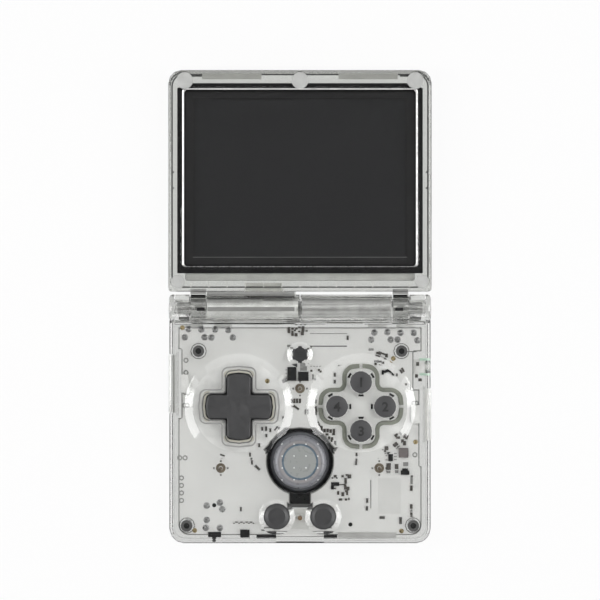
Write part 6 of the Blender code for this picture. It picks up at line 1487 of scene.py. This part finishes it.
def make_opening_rim_highlights(top):
    """Painted highlight: bright ring on the inner edge of the four round openings in the face."""
    bm = bmesh.new()
    for name in BUTTON_NUMBERS:
        x, y = button_center(name)
        add_washer(bm, x, y, RIM_INNER, RIM_OUTER, top - RIM_DEPTH, top + PRINT_HEIGHT, RIM_STEPS)
    add_piece("opening_rim_highlights", bm, "rim", "base", True)


def make_board_painted_light(board_top):
    """Painted light: paler white discs on the board under the two round dishes."""
    bm = bmesh.new()
    profile = disc_profile(LIT_DISC_RADIUS, board_top + LIT_DISC_GAP, LIT_DISC_GAP)
    for side in (-1, 1):
        add_turned(bm, side * DISH_X, DISH_Y, profile, RIM_STEPS)
    add_piece("board_painted_light", bm, "dish_painted_light", "base")


def make_pad_shades(nodes):
    """Painted shade lines along the edges of the direction pad's opening and of its collar, and the pad's
    dark skirt, partly its flange and partly painted shadow of the gap.
    """
    center = middle_of("dpad")
    target = surface_of(nodes["base_front_shell"])

    def outline(side, tip, gap):
        sizes = (PAD_TIP + tip + gap, PAD_HALF_WIDTH + side + gap, PAD_CORNER + gap, PAD_INSIDE_CORNER - gap)
        return [(center.x + x, center.y + y) for x, y in cross_outline(*sizes, PAD_BULGE, gap)]

    for name, (side, tip, width, finish) in PAD_SHADE_LINES.items():
        low = height_on(target, center.x + PAD_TIP + tip + width / 2, center.y + PRINT_MARGIN)
        bm = bmesh.new()
        inner = outline(side, tip, width * PAD_SHADE_START_SHARE)
        add_frame(bm, outline(side, tip, width), inner, low, low + PRINT_HEIGHT)
        add_piece(name, bm, finish, "base")

    # Dark skirt: partly the pad's flange, partly painted shadow of the gap
    bm = bmesh.new()
    inner = outline(0.0, 0.0, -PAD_SKIRT_OVERLAP)
    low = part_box("dpad")[1].z - PAD_SKIRT_DROP
    outer = outline(PAD_SKIRT_SIDE, PAD_SKIRT_TIP, PAD_SKIRT_OVERLAP)
    add_frame(bm, outer, inner, low, low + PAD_SKIRT_OVERLAP)
    add_piece("pad_skirt", bm, "chip_black_and_painted_shade", "dpad")


# Hinge


def make_hinge_details(nodes):
    """Sleeves round the display flex, and on the hinge barrel painted shade in the lug slots and along its
    curve, tabs, seam lines and dark pin windows.
    """
    turned = 180.0 - 2 * SLEEVE_OPENING_ANGLE
    angles = [math.radians(SLEEVE_OPENING_ANGLE + turned * k / SLEEVE_STEPS) for k in range(SLEEVE_STEPS + 1)]
    arcs = [(SLEEVE_OUTER, angle) for angle in angles] + [(SLEEVE_INNER, angle) for angle in reversed(angles)]
    loop = []
    for radius, angle in arcs:
        loop.append((HINGE_Y + radius * math.cos(angle), HINGE_Z + radius * math.sin(angle)))
    for name, (start, end, body) in SLEEVES.items():
        bm = bmesh.new()
        add_stack(bm, [[(x, y, z) for y, z in loop] for x in (start, end)])
        add_piece(name, bm, name, body, True)

    # Painted shade in the lugs' slots
    sides = (LUG_SHADE_NEAR_Y, LUG_SHADE_FAR_Y, LUG_SHADE_LOW, LUG_SHADE_HIGH)
    add_blocks("lug_slot_painted_shades", [(*ends, *sides) for ends in LUG_SLOT_SHADES], "ink_and_painted_shade", "lid")

    target = surface_of(nodes["lid_front_frame"])
    for name, (finish, strips) in BARREL_STRIPS.items():
        bm = bmesh.new()
        for strip in strips:
            add_draped(bm, target, *strip)
        add_piece(name, bm, finish, "lid", True)


def add_draped(bm, target, start, end, near, far):
    """Thin strip along x laid over a surface that is the same all along x."""
    ys = [near + (far - near) * k / DRAPE_STEPS for k in range(DRAPE_STEPS + 1)]
    rests = [(y, height_on(target, (start + end) / 2, y)) for y in ys]
    loop = [(y, height + SHEET_GAP / 2) for y, height in rests]
    loop += [(y, height + SHEET_GAP + PRINT_HEIGHT) for y, height in reversed(rests)]
    add_stack(bm, [[(x, y, z) for y, z in loop] for x in (start, end)])


# Front edge


def make_front_parts(board_top):
    """Lever, push switch, edge connectors, the card slot's upper plate and the jack's seals."""
    blocks = [(*edges, EDGE_PART_LOW, board_top + high, CHIP_INSET) for *edges, high in EDGE_BLOCKS]
    add_blocks("edge_parts", blocks, "chip_black_and_painted_shade", "base")
    low = board_top + PRINT_HEIGHT
    plates = [(*edges, low, board_top + high, PASSIVE_INSET) for *edges, high in EDGE_PLATES]
    add_blocks("edge_plates", plates, "plate", "base")
    jack_low, jack_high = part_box("headphone_jack")
    xs = (jack_high.x - JACK_SEAL_LENGTH, jack_high.x)
    zs = (jack_high.z - JACK_SEAL_WIDTH, jack_high.z + JACK_SEAL_HEIGHT)
    seals = [(*xs, *span(y, JACK_SEAL_WIDTH), *zs, PRINT_HEIGHT) for y in (jack_low.y, jack_high.y)]
    add_blocks("jack_seals", seals, "port_green", "base")


# Parts under the board


def make_underside(board_bottom):
    """Scattered chips and small parts on the board's underside, clear of what lies below."""
    draws = random.Random(UNDERSIDE_SEED)
    low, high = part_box("main_board")
    blockers = [edges_of(name) for name in UNDERSIDE_BLOCKERS]
    for x, y in (*case_places(), *BOSS_PLACES):
        blockers.append((*span(x, 2 * POST_CLEARANCE), *span(y, 2 * POST_CLEARANCE)))
    gap = UNDERSIDE_CLEARANCE + UNDERSIDE_MOST / 2
    bottom = board_bottom - UNDERSIDE_HEIGHT
    chips = bmesh.new()
    bodies = bmesh.new()
    ends = bmesh.new()
    for i in range(1, int((high.x - low.x) / UNDERSIDE_PITCH)):
        for j in range(1, int((high.y - low.y) / UNDERSIDE_PITCH)):
            x = low.x + i * UNDERSIDE_PITCH
            y = low.y + j * UNDERSIDE_PITCH
            chance = draws.random()
            length = draws.uniform(UNDERSIDE_LEAST, UNDERSIDE_MOST)
            width = draws.uniform(UNDERSIDE_LEAST, UNDERSIDE_MOST)
            if chance > UNDERSIDE_CHANCE or abs(x) > high.x - gap - UNDERSIDE_PITCH:
                continue
            if any(x0 - gap < x < x1 + gap and y0 - gap < y < y1 + gap for x0, x1, y0, y1 in blockers):
                continue
            slim = min(length, width)
            if max(length, width) > slim * PASSIVE_RATIO:
                turn = 0.0 if width < length else math.pi / 2
                add_passive(bodies, ends, x, y, slim, slim * PASSIVE_RATIO, turn, bottom)
            else:
                add_block(chips, *span(x, length), *span(y, width), bottom, board_bottom)
    add_piece("underside_chips", chips, "chip_black_and_painted_shade", "base")
    add_piece("underside_parts", bodies, "part", "base")
    add_piece("underside_part_ends", ends, "tin", "base")


def make_battery_tape():
    """Amber tape over the battery's rear edge, above and below."""
    low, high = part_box("battery")
    inset = (high.x - low.x) * TAPE_INSET_SHARE
    edges = (low.x + inset, high.x - inset, high.y - BATTERY_TAPE_WIDTH, high.y + SHEET_GAP)
    heights = ((high.z, high.z + PRINT_THICKNESS), (low.z - PRINT_THICKNESS, low.z))
    tapes = [(*edges, *pair, PRINT_HEIGHT) for pair in heights]
    add_blocks("battery_tape", tapes, "amber", "base")


# Studio


def seen_rays(tree, share):
    """A share for camera, glossy and transmission rays, and nothing for the rest."""
    rays = add_node(tree, "LightPath").outputs
    seen = calculate(tree, "MAXIMUM", rays["Is Camera Ray"], rays["Is Glossy Ray"])
    return calculate(tree, "MULTIPLY", calculate(tree, "MAXIMUM", seen, rays["Is Transmission Ray"]), share)


def make_world():
    """Even pale light all round, seen as plain white and reflected as a dim ceiling over a pale horizon."""
    world = bpy.data.worlds.new("studio")
    world.use_nodes = True
    tree = world.node_tree
    soft = tree.nodes["Background"]
    soft.inputs["Color"].default_value = (*WHITE, 1.0)
    soft.inputs["Strength"].default_value = WORLD_LIGHT
    around = add_node(tree, "TexCoord").outputs["Generated"]
    upward = add_node(tree, "SeparateXYZ", {"Vector": around}).outputs["Z"]
    sky = add_ramp(tree, upward, [(place, (level, level, level)) for place, level in SKY_STEPS])
    shade = blend_colors(tree, add_node(tree, "LightPath").outputs["Is Camera Ray"], sky, WHITE)
    seen = add_node(tree, "Background", {"Color": shade, "Strength": 1.0}).outputs["Background"]
    mix_to_surface(tree, "World Output", seen_rays(tree, 1.0), soft.outputs["Background"], seen)
    bpy.context.scene.world = world


def make_floor():
    """Plain pale floor that keeps a faint shadow."""
    bm = bmesh.new()
    half = FLOOR_SIZE / 2
    corners = ((-half, -half), (half, -half), (half, half), (-half, half))
    bm.faces.new([bm.verts.new((x, y, -FLOOR_DROP)) for x, y in corners])
    mesh = bpy.data.meshes.new("floor")
    bm.to_mesh(mesh)
    bm.free()
    made, tree, shader = start_material("floor_white", FLOOR_COLOR, FLOOR_ROUGHNESS)
    glow = add_node(tree, "Emission", {"Strength": 1.0})
    seen = seen_rays(tree, FLOOR_GLOW_SHARE)
    mix_to_surface(tree, "Material Output", seen, shader.outputs["BSDF"], glow.outputs["Emission"])
    mesh.materials.append(made)
    floor = bpy.data.objects.new("floor", mesh)
    bpy.context.scene.collection.objects.link(floor)


def make_lamps(target, lamps, glossy):
    """Area lamps round the console, either for light alone or for reflections alone."""
    for name, (azimuth, elevation, distance, width, height, light) in lamps.items():
        turn = math.radians(azimuth)
        rise = math.radians(elevation)
        level = math.cos(rise)
        away = Vector((math.cos(turn) * level, math.sin(turn) * level, math.sin(rise)))
        lamp = bpy.data.lights.new(f"softbox_{name}", "AREA")
        lamp.shape = "RECTANGLE"
        lamp.size = width
        lamp.size_y = height
        lamp.energy = light * math.pi * width * height
        obj = bpy.data.objects.new(f"softbox_{name}", lamp)
        obj.visible_camera = False
        obj.visible_glossy = glossy
        obj.visible_diffuse = not glossy
        obj.visible_transmission = not glossy
        obj.location = target + away * distance
        obj.rotation_euler = away.to_track_quat("Z", "Y").to_euler()
        bpy.context.scene.collection.objects.link(obj)


def make_camera(focus_height):
    """Long lens straight above the console."""
    data = bpy.data.cameras.new("camera")
    data.sensor_width = CAMERA_SENSOR
    data.lens = CAMERA_LENS
    camera = bpy.data.objects.new("camera", data)
    distance = VIEW_WIDTH * CAMERA_LENS / CAMERA_SENSOR
    camera.location = (0.0, VIEW_CENTER_Y, focus_height + distance)
    bpy.context.scene.collection.objects.link(camera)
    bpy.context.scene.camera = camera


def main():
    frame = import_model()
    nodes = frame["nodes"]
    make_finishes()
    dress_nodes(nodes)

    pad_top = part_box("lid_pad_top_middle")[1].z
    board_low, board_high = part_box("main_board")
    board_top = board_high.z
    make_board_parts(board_top)
    make_board_edge(nodes["main_board"], board_top)
    make_button_band(board_top)
    make_screws(board_top, board_low.z)
    make_display()
    make_lid_details()
    make_numbers(nodes)
    make_lug_shades(nodes)
    make_menu_mark()
    make_stick_dots(nodes)
    make_side_key_cores()
    make_opening_rim_highlights(pad_top - PAD_PROUD)
    make_board_painted_light(board_top)
    make_pad_shades(nodes)
    make_hinge_details(nodes)
    make_stick_boot(nodes)
    make_front_parts(board_top)
    make_underside(board_low.z)
    make_battery_tape()

    make_world()
    make_floor()
    middle = Vector((0.0, 0.0, board_top))
    make_lamps(middle, SOFTBOXES, False)
    make_lamps(middle, GLOSS_STRIPS, True)
    make_camera(pad_top)
    bpy.context.scene.view_settings.view_transform = "Standard"


main()
